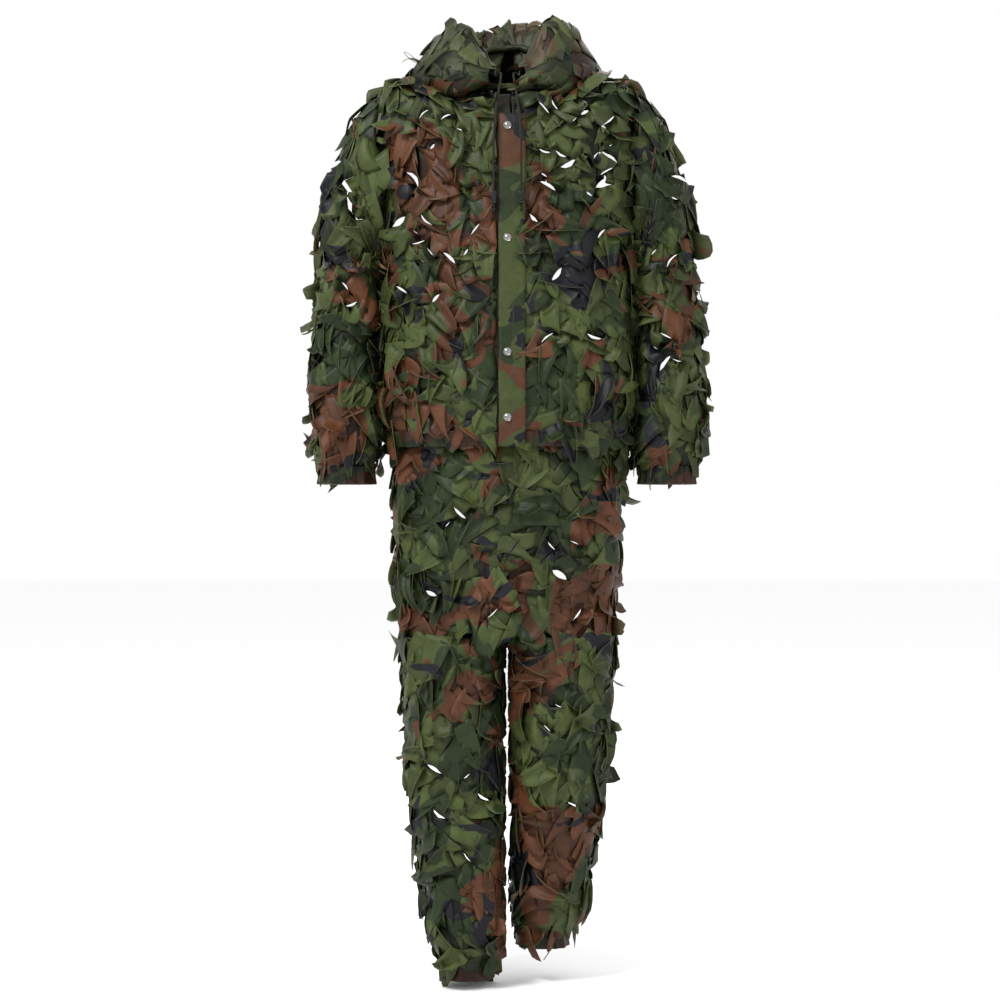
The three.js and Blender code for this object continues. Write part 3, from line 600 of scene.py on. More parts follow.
# %% [markdown]
# The jacket's body is three panels: a back that wraps to the sides, and two fronts that swing. They
# share one set of rings, cut at the fold lines and at the opening. The frame's shoulders are level,
# but the leaf cloth stands high over them, so the top rows are raised in a smooth hump.

# %% The jacket's back and fronts
body_solid = surface_of("jacket_back", "left_front_panel", "right_front_panel", "left_front_flap",
                        "right_front_flap")
hem_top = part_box("back_hem")[1].z
neck_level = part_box("jacket_back")[1].z
FOLD_LINE = 0.145  # the fronts are pieces of their own out to here
CENTRE_GAP = 0.006
SEAM_ROOM = 0.003  # a section stops this far short of its seam
YOKE_DROPS = np.arange(0.001, 0.050, 0.004)  # close rows just under the neck, where the yoke slopes
BODY_START_Z = -0.056
BODY_ROWS = 30
BODY_MIDDLE_Y = 0.004
body_levels = [neck_level - d for d in YOKE_DROPS]
body_levels += list(np.linspace(BODY_START_Z, hem_top + SEAM_ROOM, BODY_ROWS))
body_rings = [ring_of_points(body_solid, (0, BODY_MIDDLE_Y, z), (1, 0, 0), (0, 1, 0), 360)
              for z in body_levels]
FRONTS = {
    "left": lambda p: p[1] < 0 and CENTRE_GAP <= p[0] <= FOLD_LINE,
    "right": lambda p: p[1] < 0 and -FOLD_LINE <= p[0] <= CENTRE_GAP,
}

GUSSET_TURN = 10.2  # degrees from upright, the way that the armhole's seam leans
YOKE_RAISE = [
    # metres from the middle of the suit, and how high the cloth is raised there
    (0.08, 0), (0.13, 0.034), (0.165, 0.050), (0.20, 0.050), (0.23, 0.036), (0.26, 0.018), (0.285, 0),
]
YOKE_FADES = (-0.22, -0.06)  # not raised below the first level, and fully above the second

def raised(points):
    """The leaf cloth stands high over the shoulders, so the jacket slopes from the hood to the arms."""
    points = np.array(points)
    aside = np.abs(points[:, 0])
    share = np.clip((points[:, 2] - YOKE_FADES[0]) / (YOKE_FADES[1] - YOKE_FADES[0]), 0, 1)
    up = np.interp(aside, *zip(*YOKE_RAISE)) * share * share * (3 - 2 * share)
    points[:, 0] += np.sign(points[:, 0]) * up * math.tan(math.radians(GUSSET_TURN))
    points[:, 2] += up
    return points

def panel(rings, keep, count, print_at):
    """An open section: the stretch of every ring that keep allows, in count steps."""
    return Cloth([raised(even_steps(kept_stretch(r, keep), count, False)) for r in rings], False, print_at)

cloths = {}
cloths["jacket_back"] = panel(body_rings, lambda p: p[1] >= 0 or abs(p[0]) >= FOLD_LINE, 64, (0, 0))
cloths["left_front"] = panel(body_rings, FRONTS["left"], 18, (2.0, 0))
cloths["right_front"] = panel(body_rings, FRONTS["right"], 18, (3.1, 0.4))
for name, section in cloths.items():
    section.shift(-BASE_INSET).drape(0.007, seed=len(name))
    print(name, "girth", round(section.girth, 3), "length", round(section.length, 3))

# %% [markdown]
# Each sleeve starts upright at the armhole and turns down under the arm, so its rows fan about the
# armpit before they run level to the cuff. Close rows at the start are a gusset. Its leaves are laid
# as on the cloth opened like a fan, as it is when the arm lifts.

# %% Sleeves
ARMPIT_Z = -0.292
SLEEVE_SPLIT_Z = -0.300
GUSSET_WIDTH = 0.0085
TUCKED_IN = 0.010  # how far the cloth runs on inside its gathered hem
GUSSET_OPENED = 0.22  # the folded cloth's depth when the arm is up
GUSSET_ROWS = 9
SLEEVE_COLUMNS = 36
FAN_MIDDLE = 0.46  # how far out in the sleeve the rays of a fanned row aim, as a share of its reach
sleeve_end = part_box("left_cuff")[1].z
armpit_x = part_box("left_upper_sleeve")[0].x
sleeve_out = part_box("left_upper_sleeve")[1].x
shoulder_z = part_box("left_upper_sleeve")[1].z
gussets = {}
for name, side in SIDES:
    tree = surface_of(f"{name}_upper_sleeve", f"{name}_forearm_sleeve")
    def fan_row(degrees, pushed=0.0):
        """A row in a plane through the armpit, turned out from upright by some degrees."""
        angle = math.radians(degrees)
        share = min(1, angle / math.radians(60))
        reach = (shoulder_z - ARMPIT_Z) * (1 - share) + (sleeve_out - armpit_x) * share
        out = np.array((side * math.sin(angle), 0, math.cos(angle)))
        across = np.array((side * math.cos(angle), 0, -math.sin(angle)))
        origin = np.array((side * armpit_x, 0, ARMPIT_Z)) + out * reach * FAN_MIDDLE + across * pushed
        return ring_of_points(tree, origin, out, (0, 1, 0))
    axis_x = side * (armpit_x + sleeve_out) / 2
    def level_row(z):
        """A level row round the hanging sleeve."""
        return ring_of_points(tree, (axis_x, -0.005, z), (side, 0, 0), (0, 1, 0))
    rows = [fan_row(0.5), fan_row(5)]
    folds = [GUSSET_WIDTH * (0.5 - math.sin(math.asin(1 - 2 * share) / 3))
             for share in np.linspace(0, 1, GUSSET_ROWS)]
    rows += [fan_row(GUSSET_TURN, pushed) for pushed in folds]
    rows += [fan_row(degrees, GUSSET_WIDTH) for degrees in range(16, 90, 6)]
    upper = rows + [level_row(z) for z in np.linspace(ARMPIT_Z, SLEEVE_SPLIT_Z, 4)]
    lower = [level_row(z) for z in np.linspace(SLEEVE_SPLIT_Z, sleeve_end + 0.002, 18)]
    lower.append(lower[-1] - np.array((0, 0, TUCKED_IN)))
    wind = 1 if side > 0 else -1
    upper = [raised(even_steps(r[::wind], SLEEVE_COLUMNS, True)) for r in upper]
    lower = [even_steps(r[::wind], SLEEVE_COLUMNS, True) for r in lower]
    gusset_rows = upper[2:2 + GUSSET_ROWS]
    gussets[name] = Cloth(gusset_rows, True, (4 + side, 2.2)).shift(-BASE_INSET).opened_out(GUSSET_OPENED)
    cloths[f"{name}_shoulder"] = Cloth(upper, True, (4 + side, 1.3))
    cloths[f"{name}_shoulder"].drape(0.008, seed=side * 3.0).shift(-BASE_INSET)
    cloths[f"{name}_lower_arm"] = Cloth(lower, True, (4 + side, 1.7))
    cloths[f"{name}_lower_arm"].drape(0.008, pleats=(17, 0.0045, 0.05), seed=side * 5.0).shift(-BASE_INSET)
    print(name, "sleeve rows", len(upper), "and", len(lower))

# %% [markdown]
# The trousers are a seat in two halves and two legs. Each leg is cut once more at the hip, into a
# short thigh section and a long lower leg. The legs fall at a slant, so every ring is centred on a
# line from the thigh's middle to the ankle's.

# %% Trousers
CROTCH_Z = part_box("left_thigh")[1].z
THIGH_SPLIT_Z = -1.02
LEG_COLUMNS = 40
HALVES = {"left": lambda p: p[0] >= -0.001, "right": lambda p: p[0] <= 0.001}
waist_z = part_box("trousers_left_half")[1].z
seat = surface_of("trousers_left_half", "trousers_right_half")
seat_levels = np.linspace(waist_z - SEAM_ROOM, CROTCH_Z + 0.004, 16)
seat_rings = [ring_of_points(seat, (0, 0, z), (1, 0, 0), (0, 1, 0)) for z in seat_levels]
for name, side in SIDES:
    leg = surface_of(f"{name}_thigh", f"{name}_shin")
    cloths[f"{name}_seat"] = panel(seat_rings, HALVES[name], 30, (6 + side, 0))
    thigh_low, thigh_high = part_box(f"{name}_thigh")
    ankle_low, ankle_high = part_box(f"{name}_ankle_casing")
    def leg_ring(z):
        """A level row round the slanting leg."""
        share = (z - thigh_low.z) / (ankle_high.z - thigh_low.z)
        share = min(1, max(0, share))
        middle = (thigh_low + thigh_high) / 2 * (1 - share) + (ankle_low + ankle_high) / 2 * share
        return ring_of_points(leg, (middle.x, middle.y, z), (1, 0, 0), (0, 1, 0))
    upper = [leg_ring(z) for z in np.linspace(CROTCH_Z - SEAM_ROOM, THIGH_SPLIT_Z, 8)]
    lower = [leg_ring(z) for z in np.linspace(THIGH_SPLIT_Z, ankle_high.z + SEAM_ROOM, 24)]
    lower.append(lower[-1] - np.array((0, 0, TUCKED_IN)))
    upper = [even_steps(r, LEG_COLUMNS, True) for r in upper]
    lower = [even_steps(r, LEG_COLUMNS, True) for r in lower]
    cloths[f"{name}_thigh"] = Cloth(upper, True, (6 + side, 0.4))
    cloths[f"{name}_lower_leg"] = Cloth(lower, True, (6 + side, 0.55))
    cloths[f"{name}_seat"].drape(0.006, seed=side * 7.0)
    cloths[f"{name}_thigh"].drape(0.007, seed=side * 8.0)
    cloths[f"{name}_lower_leg"].drape(0.008, pleats=(16, 0.005, 0.05), seed=side * 9.0)
    print(name, "leg rows", len(upper), "and", len(lower))

# %% [markdown]
# The hood lies slack behind the neck. Its cloth runs out from the neck seam, up the back and rolls
# in to the face edge, lower towards the throat. Its plain solid is too simple to follow, so one
# section line is carried round the neck, spread wider and raised higher towards the back.

# %% Hood
neck_low, neck_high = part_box("neck_band")
NECK_WALL = 0.003  # half the neck band's thickness
neck_centre = (neck_low + neck_high) / 2
neck_half = (neck_high - neck_low) / 2 - Vector((NECK_WALL, NECK_WALL, 0))
hood_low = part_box("hood_left")[0]
HOOD_LINE = [
    # millimetres out from the neck and up from the seam, from the seam to the face edge
    (0, 0), (42, -20), (78, -30), (87, 8), (68, 56), (46, 92), (30, 110), (16, 113), (7, 98), (2, 72),
]
HOOD_CREST = 0.60  # the share of the cloth that lies outside the crest
HOOD_CHEEK = 0.56  # how much higher the hood stands beside the face
HOOD_BACK = 0.16  # how much higher it stands at the back
HOOD_LEAN = 0.12  # how much lower it stands on the wearer's right
HOOD_FRONT = 16.0  # degrees from the throat to each front edge
hood_base = hood_low.z + SEAM_ROOM

def ease(low, high, value):
    """0 below low, 1 above high, and smooth between."""
    t = min(1, max(0, (value - low) / (high - low)))
    return t * t * (3 - 2 * t)

def hood_place(turn, out, up):
    """A point of the hood, from the way round from the throat and the place on its roll."""
    folded = abs(math.atan2(math.sin(turn), math.cos(turn)))
    reach = out * (0.25 + 0.75 * math.sin(min(folded, math.pi / 2)))
    cheek = HOOD_CHEEK * ease(0.30, 0.78, folded)
    lean = 1 - HOOD_LEAN * max(0, -math.sin(turn)) * ease(0.3, 0.9, folded)
    back = HOOD_BACK * ease(2.1, 2.9, folded)
    rise = up * (min(0.93, 0.2 + 0.4 * (1 - math.cos(folded)) + cheek) * lean + back)
    return (
        (neck_half.x + reach) * math.sin(turn),
        neck_centre.y - (neck_half.y + reach) * math.cos(turn),
        hood_base + rise,
    )

def hood_row(share, count=72):
    """One line of the hood, the same share of the way from neck seam to face edge all round."""
    line = smooth_through([(a / 1000, b / 1000, 0) for a, b in HOOD_LINE], 8)
    x = share * (len(line) - 1)
    i = min(int(x), len(line) - 2)
    out, up, _ = line[i] * (1 - (x - i)) + line[i + 1] * (x - i)
    turns = np.radians(np.linspace(360 - HOOD_FRONT, HOOD_FRONT, count))
    return np.array([hood_place(turn, out, up) for turn in turns])

cloths["hood"] = Cloth([hood_row(s) for s in np.linspace(0.02, 1, 30)], False, (9, 0))
cloths["hood"].drape(0.010, broad=11.0, seed=2.4)
print("sections", {k: (round(v.girth, 2), round(v.length, 2)) for k, v in cloths.items()})

# %% [markdown]
# ## Slits of daylight
# Where a laser cut has pulled open, daylight shows through both walls of the suit as a thin
# crescent. A hole could be a transparent patch in the material, but then the leaf's edge would have
# no thickness. So the mesh is opened: faces that a crescent crosses are removed, and their corners
# slide to its edge. The same crescents are opened in each layer, along one line of sight.

# %% Crescent slits
SLIT_REGIONS = [
    # x from and to, z from and to in metres, how many
    (0.040, 0.185, -0.235, -0.005, 24),
    (-0.185, -0.040, -0.300, -0.020, 15),
    (-0.190, 0.190, -0.470, -0.300, 6),
    (0.235, 0.300, -0.470, -0.110, 8),
    (-0.300, -0.235, -0.470, -0.110, 8),
    (-0.160, -0.015, -0.880, -0.660, 4),
    (0.015, 0.160, -0.880, -0.660, 4),
    (-0.160, -0.040, -1.300, -0.960, 5),
    (0.040, 0.150, -1.250, -0.960, 3),
    (-0.045, 0.010, 0.095, 0.125, 3),
]
SLIT_LENGTHS = (0.008, 0.030)
SLIT_WIDTHS = (0.10, 0.24)  # as shares of the length, and one slit in four gapes twice as wide
SLIT_LEANS = (15, 60)  # degrees from level
SLIT_BOW = 26
slit_chance = np.random.default_rng(7)
SLITS = []
for x_from, x_to, z_from, z_to, count in SLIT_REGIONS:
    for _ in range(count):
        place = (slit_chance.uniform(x_from, x_to), slit_chance.uniform(z_from, z_to))
        lean = math.radians(slit_chance.choice([-1, 1]) * slit_chance.uniform(*SLIT_LEANS))
        length = slit_chance.uniform(*SLIT_LENGTHS)
        width = length * slit_chance.uniform(*SLIT_WIDTHS) * slit_chance.choice([1.0, 1.0, 1.0, 2.0])
        SLITS.append((place, lean, length, width, slit_chance.uniform(-SLIT_BOW, SLIT_BOW)))

def in_sight(points):
    """Where points lie on the suit's middle plane, seen from the front, and how far they shrink."""
    shrink = CAMERA_DISTANCE / (CAMERA_DISTANCE + points[:, 1])
    middle = np.array((VIEW_CENTRE.x, VIEW_CENTRE.z))
    return middle + (points[:, [0, 2]] - middle) * shrink[:, None], shrink

def open_slits(verts, faces):
    """Opens the slits in a layer. Gives the moved points, the faces that stay and the edge corners."""
    seen, shrink = in_sight(verts)
    verts = verts.copy()
    stays = np.ones(len(faces), bool)
    edges = np.zeros(len(verts), bool)
    for place, lean, length, width, bow in SLITS:
        way = np.array((math.cos(lean), math.sin(lean)))
        aside_way = np.array((-way[1], way[0]))
        offset = seen - np.array(place)
        along = offset @ way
        aside = offset @ aside_way - bow * (along ** 2 - length ** 2 / 8)
        half = width / 2 * np.sqrt(np.clip(1 - (2 * along / length) ** 2, 0, 1))
        near = (np.abs(along) < length / 2 + 0.02) & (np.abs(aside) < 0.03)
        close = np.where(near[faces].all(1))[0]
        a, d = along[faces[close]], aside[faces[close]]
        crossed = (d.min(1) < 0) & (d.max(1) > 0) & (a.max(1) > -length / 2) & (a.min(1) < length / 2)
        stays[close[crossed]] = False
        moved = np.zeros(len(verts), bool)
        moved[faces[close[crossed]]] = True
        moved |= near & (np.abs(aside) < half)
        push = (np.sign(aside) * half - aside)[moved]
        seen[moved] += push[:, None] * aside_way
        verts[moved, 0] += push * aside_way[0] / shrink[moved]
        verts[moved, 2] += push * aside_way[1] / shrink[moved]
        edges |= moved
        stays[close[moved[faces[close]].all(1)]] = False
    return verts, stays, edges

print("slits", len(SLITS))

# %% [markdown]
# ## Base cloth
# The sections become sheets of thin cloth. A sheet on one body rides on it. A sheet that crosses a
# joint, at the fronts' fold, armpit, elbow, hip, knee or neck seam, runs on over it whole, as a sheet
# that stopped at each joint would tear open there; it rides on no body and keeps its place. The cloth
# under the leaves is seen only in their shade, so its print is dimmed.

# %% Base sheets
CLOTH_THICKNESS = 0.0008
BASE_FINENESS = 3  # how many steps of the sheet lie in one step of its section
FRONT_BEND = (-0.19, -0.27)  # the heights where a sheet starts to bend and where it ends
ELBOW_BEND = (-0.305, -0.465)
HIP_BEND = (-0.905, -1.015)
KNEE_BEND = (-1.05, -1.27)
HOOD_BEND = (hood_base, hood_base + 0.035)
base_cloth = camouflage("base cloth", bump=0.2, dim=0.25)

def follow(piece, motion):
    """Rides on one body. A motion between two bodies is not set up: the piece only has its place baked in.
    """
    if isinstance(motion, str):
        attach(piece, motion)
    else:
        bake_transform(piece)

def bending(upper, lower, heights):
    """The motion of cloth that bends between two bodies, from one height down to another."""
    return (upper, lower, (0, 0, heights[0]), (0, 0, heights[1]))

def thicken(piece, thickness, outside=1.0, reverse=0, rim=0):
    """Gives a sheet its thickness, with other material numbers on its reverse and its rim."""
    only(piece)
    modifier = piece.modifiers.new("cloth", "SOLIDIFY")
    modifier.thickness = thickness
    modifier.offset = outside
    modifier.material_offset = reverse
    modifier.material_offset_rim = rim
    bpy.ops.object.modifier_apply(modifier="cloth")

def grid_faces(rows, columns, closed):
    """The quads of a grid of points. A closed grid joins its last column to its first."""
    faces = []
    for j in range(rows - 1):
        for i in range(columns if closed else columns - 1):
            k = (i + 1) % columns
            faces.append((j * columns + i, (j + 1) * columns + i, (j + 1) * columns + k, j * columns + k))
    return faces

def base_sheet(name, section, solids, motion):
    """The thin sheet of one section. It replaces its plain solids."""
    columns = BASE_FINENESS * section.rows.shape[1]
    share = np.arange(columns) / (columns - (0 if section.closed else 1))
    row_count = len(section.down)
    fine_rows = np.arange(BASE_FINENESS * row_count) / BASE_FINENESS
    levels = np.interp(fine_rows, np.arange(row_count), section.down)
    verts = np.vstack([section.at(share, np.full(columns, level)) for level in levels])
    uvs = [(section.print_at[0] + a * section.girth, section.print_at[1] - d) for d in levels for a in share]
    faces = np.array(grid_faces(len(levels), columns, section.closed))
    verts, stays, _ = open_slits(verts, faces)
    piece = solid_mesh(name, verts, faces[stays], uvs, [base_cloth])
    thicken(piece, CLOTH_THICKNESS, outside=0.0)
    follow(piece, motion)
    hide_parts(*solids)
    return piece

front_bends = {name: bending("jacket", f"{name}_front", FRONT_BEND) for name, side in SIDES}
motions = {
    "jacket_back": "jacket",
    "left_front": front_bends["left"],
    "right_front": front_bends["right"],
    "hood": bending("jacket", "hood", HOOD_BEND),
}
solids_of = {
    "jacket_back": ["jacket_back"],
    "left_front": ["left_front_panel", "left_front_flap"],
    "right_front": ["right_front_panel", "right_front_flap"],
    "hood": ["hood_left", "hood_right"],
}
for name, side in SIDES:
    turn = math.radians(GUSSET_TURN)
    start = Vector((side * armpit_x, 0, ARMPIT_Z))
    end = start + Vector((side * math.cos(turn), 0, -math.sin(turn))) * GUSSET_WIDTH
    motions[f"{name}_shoulder"] = ("jacket", f"{name}_upper_arm", start, end)
    motions[f"{name}_lower_arm"] = bending(f"{name}_upper_arm", f"{name}_forearm", ELBOW_BEND)
    motions[f"{name}_seat"] = "trousers"
    motions[f"{name}_thigh"] = bending("trousers", f"{name}_thigh", HIP_BEND)
    motions[f"{name}_lower_leg"] = bending(f"{name}_thigh", f"{name}_lower_leg", KNEE_BEND)
    solids_of[f"{name}_shoulder"] = [f"{name}_upper_sleeve"]
    solids_of[f"{name}_lower_arm"] = [f"{name}_forearm_sleeve"]
    solids_of[f"{name}_seat"] = [f"trousers_{name}_half"]
    solids_of[f"{name}_thigh"] = [f"{name}_thigh"]
    solids_of[f"{name}_lower_leg"] = [f"{name}_shin"]
for name, section in cloths.items():
    base_sheet(f"{name}_cloth", section, solids_of[name], motions[name])

# %% [markdown]
# ## Leaves
# A laser cuts crescents into the cloth, and each cut frees a tongue some 50 mm long that lifts and
# curls. A tongue starts as a small grid. Its rows follow a bending line, twist and taper to the
# tip. A few forms are modelled once, then laid over the cloth thousands of times, each mapped onto
# the surface so that its root lies flat and its print matches the cloth that it was cut from.

# %% Leaf forms
LEAF_COLUMNS = 4
LEAF_ROWS = 6
LEAF_THICKNESS = 0.0004
TIP_WIDTH = 0.85  # the cut ends short of a point, so the tip's corners are only drawn in a little
LEAF_FORMS = {
    # rise at the root and at the tip in degrees, twist, gutter, edge roll, sway, skew, length,
    # width, taper
    "lifted": (18, -2, 8, 0.16, 0.0, 0.25, 0.50, 0.054, 0.034, 0.5),
    "rolled_back": (4, 95, -12, 0.05, 0.1, -0.15, 0.40, 0.048, 0.032, 0.3),
    "arched": (26, -34, 12, 0.20, 0.0, 0.40, -0.60, 0.058, 0.036, 0.4),
    "twisted": (12, 4, 50, 0.10, 0.0, 0.20, 0.70, 0.056, 0.030, 0.6),
    "gutter": (16, 2, -14, 0.60, 0.0, -0.30, 0.50, 0.052, 0.036, 0.5),
    "tucked": (30, -70, -12, -0.25, 0.1, 0.30, 0.60, 0.058, 0.034, 0.3),
    "edge_rolled": (10, -4, 14, 0.10, 0.7, -0.25, 0.65, 0.052, 0.038, 0.4),
    "flat_cut": (8, 0, -8, 0.06, 0.0, 0.45, -0.70, 0.052, 0.036, 0.2),
    "creased": (20, -10, -20, 0.8, 0.0, 0.30, 0.80, 0.060, 0.034, 0.7),
    "ribbon": (14, -20, 34, -0.30, 0.0, -0.45, 0.80, 0.066, 0.024, 0.3),
    "pointed": (12, 6, 16, 0.12, 0.0, 0.55, 0.30, 0.062, 0.032, 0.9),
}

def leaf_form(name, root_rise, tip_rise, twist, gutter, roll, sway, skew, length, width, taper):
    """One leaf, rooted at the origin and pointing along +Y, with +Z out from the cloth."""
    bpy.ops.object.select_all(action="DESELECT")
    bpy.ops.mesh.primitive_grid_add(x_subdivisions=LEAF_COLUMNS, y_subdivisions=LEAF_ROWS, size=1)
    leaf = bpy.context.object
    leaf.name = name
    for finish in (leaf_face, leaf_reverse, cut_edge_and_sheen):
        leaf.data.materials.append(finish)
    shares = np.linspace(0, 1, LEAF_ROWS + 1)
    rises = np.radians(root_rise + (tip_rise - root_rise) * shares ** 1.4)
    step = length / LEAF_ROWS
    middles = np.concatenate([[0], (rises[1:] + rises[:-1]) / 2])
    along = np.cumsum(step * np.cos(middles)) - step
    height = np.cumsum(step * np.sin(middles))
    for vertex in leaf.data.vertices:
        row = round((vertex.co.y + 0.5) * LEAF_ROWS)
        share, rise = shares[row], rises[row]
        aside = 2 * vertex.co.x
        half = width / 2 * (1 - taper * share ** 1.8) * (TIP_WIDTH if row == LEAF_ROWS else 1.0)
        turn = math.radians(twist) * share ** 1.3
        normal = Vector((0, -math.sin(rise), math.cos(rise)))
        across = Vector((math.cos(turn), 0, 0)) + normal * math.sin(turn)
        facing = normal * math.cos(turn) - Vector((math.sin(turn), 0, 0))
        lift = gutter * abs(aside) ** 1.3 + roll * max(0, aside) ** 2 * share
        slant = skew * half * aside * share
        place = Vector((sway * length * share * share, along[row] + slant * math.cos(rise),
                        height[row] + slant * math.sin(rise)))
        drawn_in = 1 - 0.35 * roll * max(0, aside) * share
        vertex.co = place + across * half * aside * drawn_in + facing * half * lift
    thicken(leaf, LEAF_THICKNESS, outside=0.0, reverse=1, rim=2)
    points = np.array([v.co for v in leaf.data.vertices])
    quads = np.array([p.vertices for p in leaf.data.polygons])
    finishes = np.array([p.material_index for p in leaf.data.polygons])
    bpy.data.objects.remove(leaf, do_unlink=True)
    return points, quads, finishes

leaf_forms = [leaf_form(name, *numbers) for name, numbers in LEAF_FORMS.items()]
print("leaf forms", [(len(f), round(float(v[:, 2].max()), 3)) for v, f, _ in leaf_forms])

# %% [markdown]
# The leaves stand in staggered rows, as they are cut. Chance then moves, turns, scales and lifts
# each one, and paints it lighter or darker as sheen and shade. Scattering them with a particle system
# would be quicker to write, but a leaf would then lose the print of the cloth below it and float over
# the curve. So each form's points are laid on the section by arrays, and a leaf's tip lets go of the
# curve.

# %% Rows of leaves and their chances
LEAF_SPACING = (0.025, 0.023)
LEAF_SHEEN_AND_SHADE = (-0.32, 0.42)  # how much darker or lighter than the print a whole leaf is painted, as shade and sheen
HOOD_DARKER_SHADING = (-0.70, 0.0)  # the hood's leaves are only ever painted darker than the print, by up to 0.70
LEAF_ROOM = 0.014  # leaves stand this far outside the frame's box, and further tips are pressed back
PRESSED_BACK = 0.75  # the share of what stands further out that is pressed back
MOVED_BY = (0.2, 0.22)  # how far chance moves a leaf across and down, as shares of the spacing
LEAF_SIZES = (0.78, 1.22)
LIFT_STEPS = [0.3, 0.65, 1.05]  # some leaves lie nearly flat, and others stand up
LIFT_SHARES = [0.35, 0.35, 0.30]
LIFT_RANGE = (0.8, 1.2)
SELVAGE = 0.004  # no leaf of an open section is rooted nearer to its edge than this share
ROOT_GAP = 0.001  # a leaf's root lies this far above the middle of the base cloth
leaf_low = np.array(cad_low) - LEAF_ROOM
leaf_high = np.array(cad_high) + LEAF_ROOM
leaf_low[2] -= 0.02
leaf_high[2] += 0.02

def leaf_rows(section, ends):
    """Even places, as shares across and distances down. Each row lies half a step aside of the last."""
    places = []
    row = 0
    down = ends[0]
    while down < section.length - ends[1]:
        girth = float(np.interp(down, section.down, section.girths))
        count = max(2, round(girth / LEAF_SPACING[0]))
        shares = (np.arange(count) + 0.5 * (row % 2) + 0.25) / count
        places += [(a, down) for a in shares]
        down += LEAF_SPACING[1]
        row += 1
    return np.array(places)

def chances(section, places, seed, size, lift, spread, upwards, painted_shading_from):
    """Moves the places a little, and draws each leaf's form, turn, flip, scale, lift and painted shading."""
    chance = np.random.default_rng(seed)
    total = len(places)
    places[:, 0] += chance.normal(0, MOVED_BY[0], total) * LEAF_SPACING[0] / section.girth
    places[:, 1] += chance.normal(0, MOVED_BY[1], total) * LEAF_SPACING[1]
    if not section.closed:
        places[:, 0] = np.clip(places[:, 0], SELVAGE, 1 - SELVAGE)
    which = chance.integers(0, len(leaf_forms), total)
    turn = np.radians(chance.normal(0, spread * 0.5, total) + chance.choice([-1, 1], total) * spread * 0.6)
    turn += math.pi if upwards else 0.0
    flip = chance.choice([-1.0, 1.0], total)
    scale = size * chance.uniform(*LEAF_SIZES, total)
    lifts = lift * chance.choice(LIFT_STEPS, total, p=LIFT_SHARES)
    lifts = lifts * chance.uniform(*LIFT_RANGE, total)
    leaf_shading = chance.uniform(*painted_shading_from, total)
    return which, turn, flip, scale, lifts, leaf_shading

print("leaf room", [round(x, 3) for x in leaf_low], [round(x, 3) for x in leaf_high])

# %% [markdown]
# A leaf's root is looked up on the cloth. Near the root its points follow the curve of the cloth,
# and towards the tip they follow the flat plane of the root instead. A mirrored leaf has its faces
# turned round again, so that its printed side still looks outwards.

# %% Leaves laid over a section
def plant(name, section, seed, lift=1.0, size=1.0, spread=56, ends=(0.0, 0.0), upwards=False,
          clear=None, faces_out=None, free_tip=0.55, painted_shading_from=LEAF_SHEEN_AND_SHADE):
    """Covers a section with leaves as one piece. They hang towards its end, or its start if upwards."""
    places = leaf_rows(section, ends)
    which, turn, flip, scale, lifts, leaf_shading = chances(section, places, seed, size, lift, spread, upwards,
                                                    painted_shading_from)
    verts, faces, uvs, indices, leaf_shadings = [], [], [], [], []
    start = 0
    for form, (points, quads, sides) in enumerate(leaf_forms):
        chosen = np.where(which == form)[0]
        k, v = len(chosen), len(points)
        if k == 0:
            continue
        x = points[None, :, 0] * (flip * scale)[chosen][:, None]
        y = points[None, :, 1] * scale[chosen][:, None]
        z = points[None, :, 2] * (scale * lifts)[chosen][:, None] + ROOT_GAP
        cos, sin = np.cos(turn[chosen])[:, None], np.sin(turn[chosen])[:, None]
        aside, along = x * cos + y * sin, y * cos - x * sin
        root_across, root_down = places[chosen, 0], places[chosen, 1]
        girth = np.interp(root_down, section.down, section.girths)
        across = root_across[:, None] + aside / girth[:, None]
        downs = root_down[:, None] + along
        surface = section.at(across.ravel(), downs.ravel()).reshape(k, v, 3)
        root, sideways, downward, outward = section.frame_at(root_across, root_down)
        flat = root[:, None] + sideways[:, None] * aside[..., None] + downward[:, None] * along[..., None]
        free = (free_tip * np.clip(points[:, 1] / points[:, 1].max(), 0, 1))[None, :, None]
        placed = surface * (1 - free) + flat * free + outward[:, None] * z[..., None]
        if clear:
            least, way = clear
            placed[..., 0] += np.maximum(0, least - (placed[..., 0] * way).min(1))[:, None] * way
        beyond = placed - np.clip(placed, leaf_low, leaf_high)
        verts.append((placed - beyond * PRESSED_BACK).reshape(-1, 3))
        print_u = section.print_at[0] + root_across[:, None] * section.girth + aside
        uvs.append(np.stack([print_u, section.print_at[1] - downs], -1).reshape(-1, 2))
        leaf_shadings.append(np.repeat(leaf_shading[chosen], v))
        starts = start + np.arange(k)[:, None, None] * v
        order = np.where((flip[chosen] > 0)[:, None, None], quads[None], quads[None, :, ::-1])
        faces.append((order + starts).reshape(-1, 4))
        indices.append(np.tile(sides if faces_out is None else np.maximum(sides, faces_out), k))
        start += k * v
    verts, faces = np.vstack(verts), np.vstack(faces)
    verts, stays, edges = open_slits(verts, faces)
    piece = quad_mesh(name, verts, faces[stays], np.vstack(uvs), np.concatenate(indices)[stays],
                      np.concatenate(leaf_shadings))
    close_edges(piece, edges)
    return piece, len(places)

def close_edges(piece, edges):
    """Joins a leaf's face to its reverse along the edges that a slit has left open."""
    shape = bmesh.new()
    shape.from_mesh(piece.data)
    shape.verts.ensure_lookup_table()
    on_edge = [shape.verts[i] for i in np.where(edges)[0]]
    bmesh.ops.remove_doubles(shape, verts=on_edge, dist=1.6 * LEAF_THICKNESS)
    loose = [v for v in shape.verts if not v.link_faces]
    bmesh.ops.delete(shape, geom=loose, context="VERTS")
    shape.to_mesh(piece.data)
    shape.free()

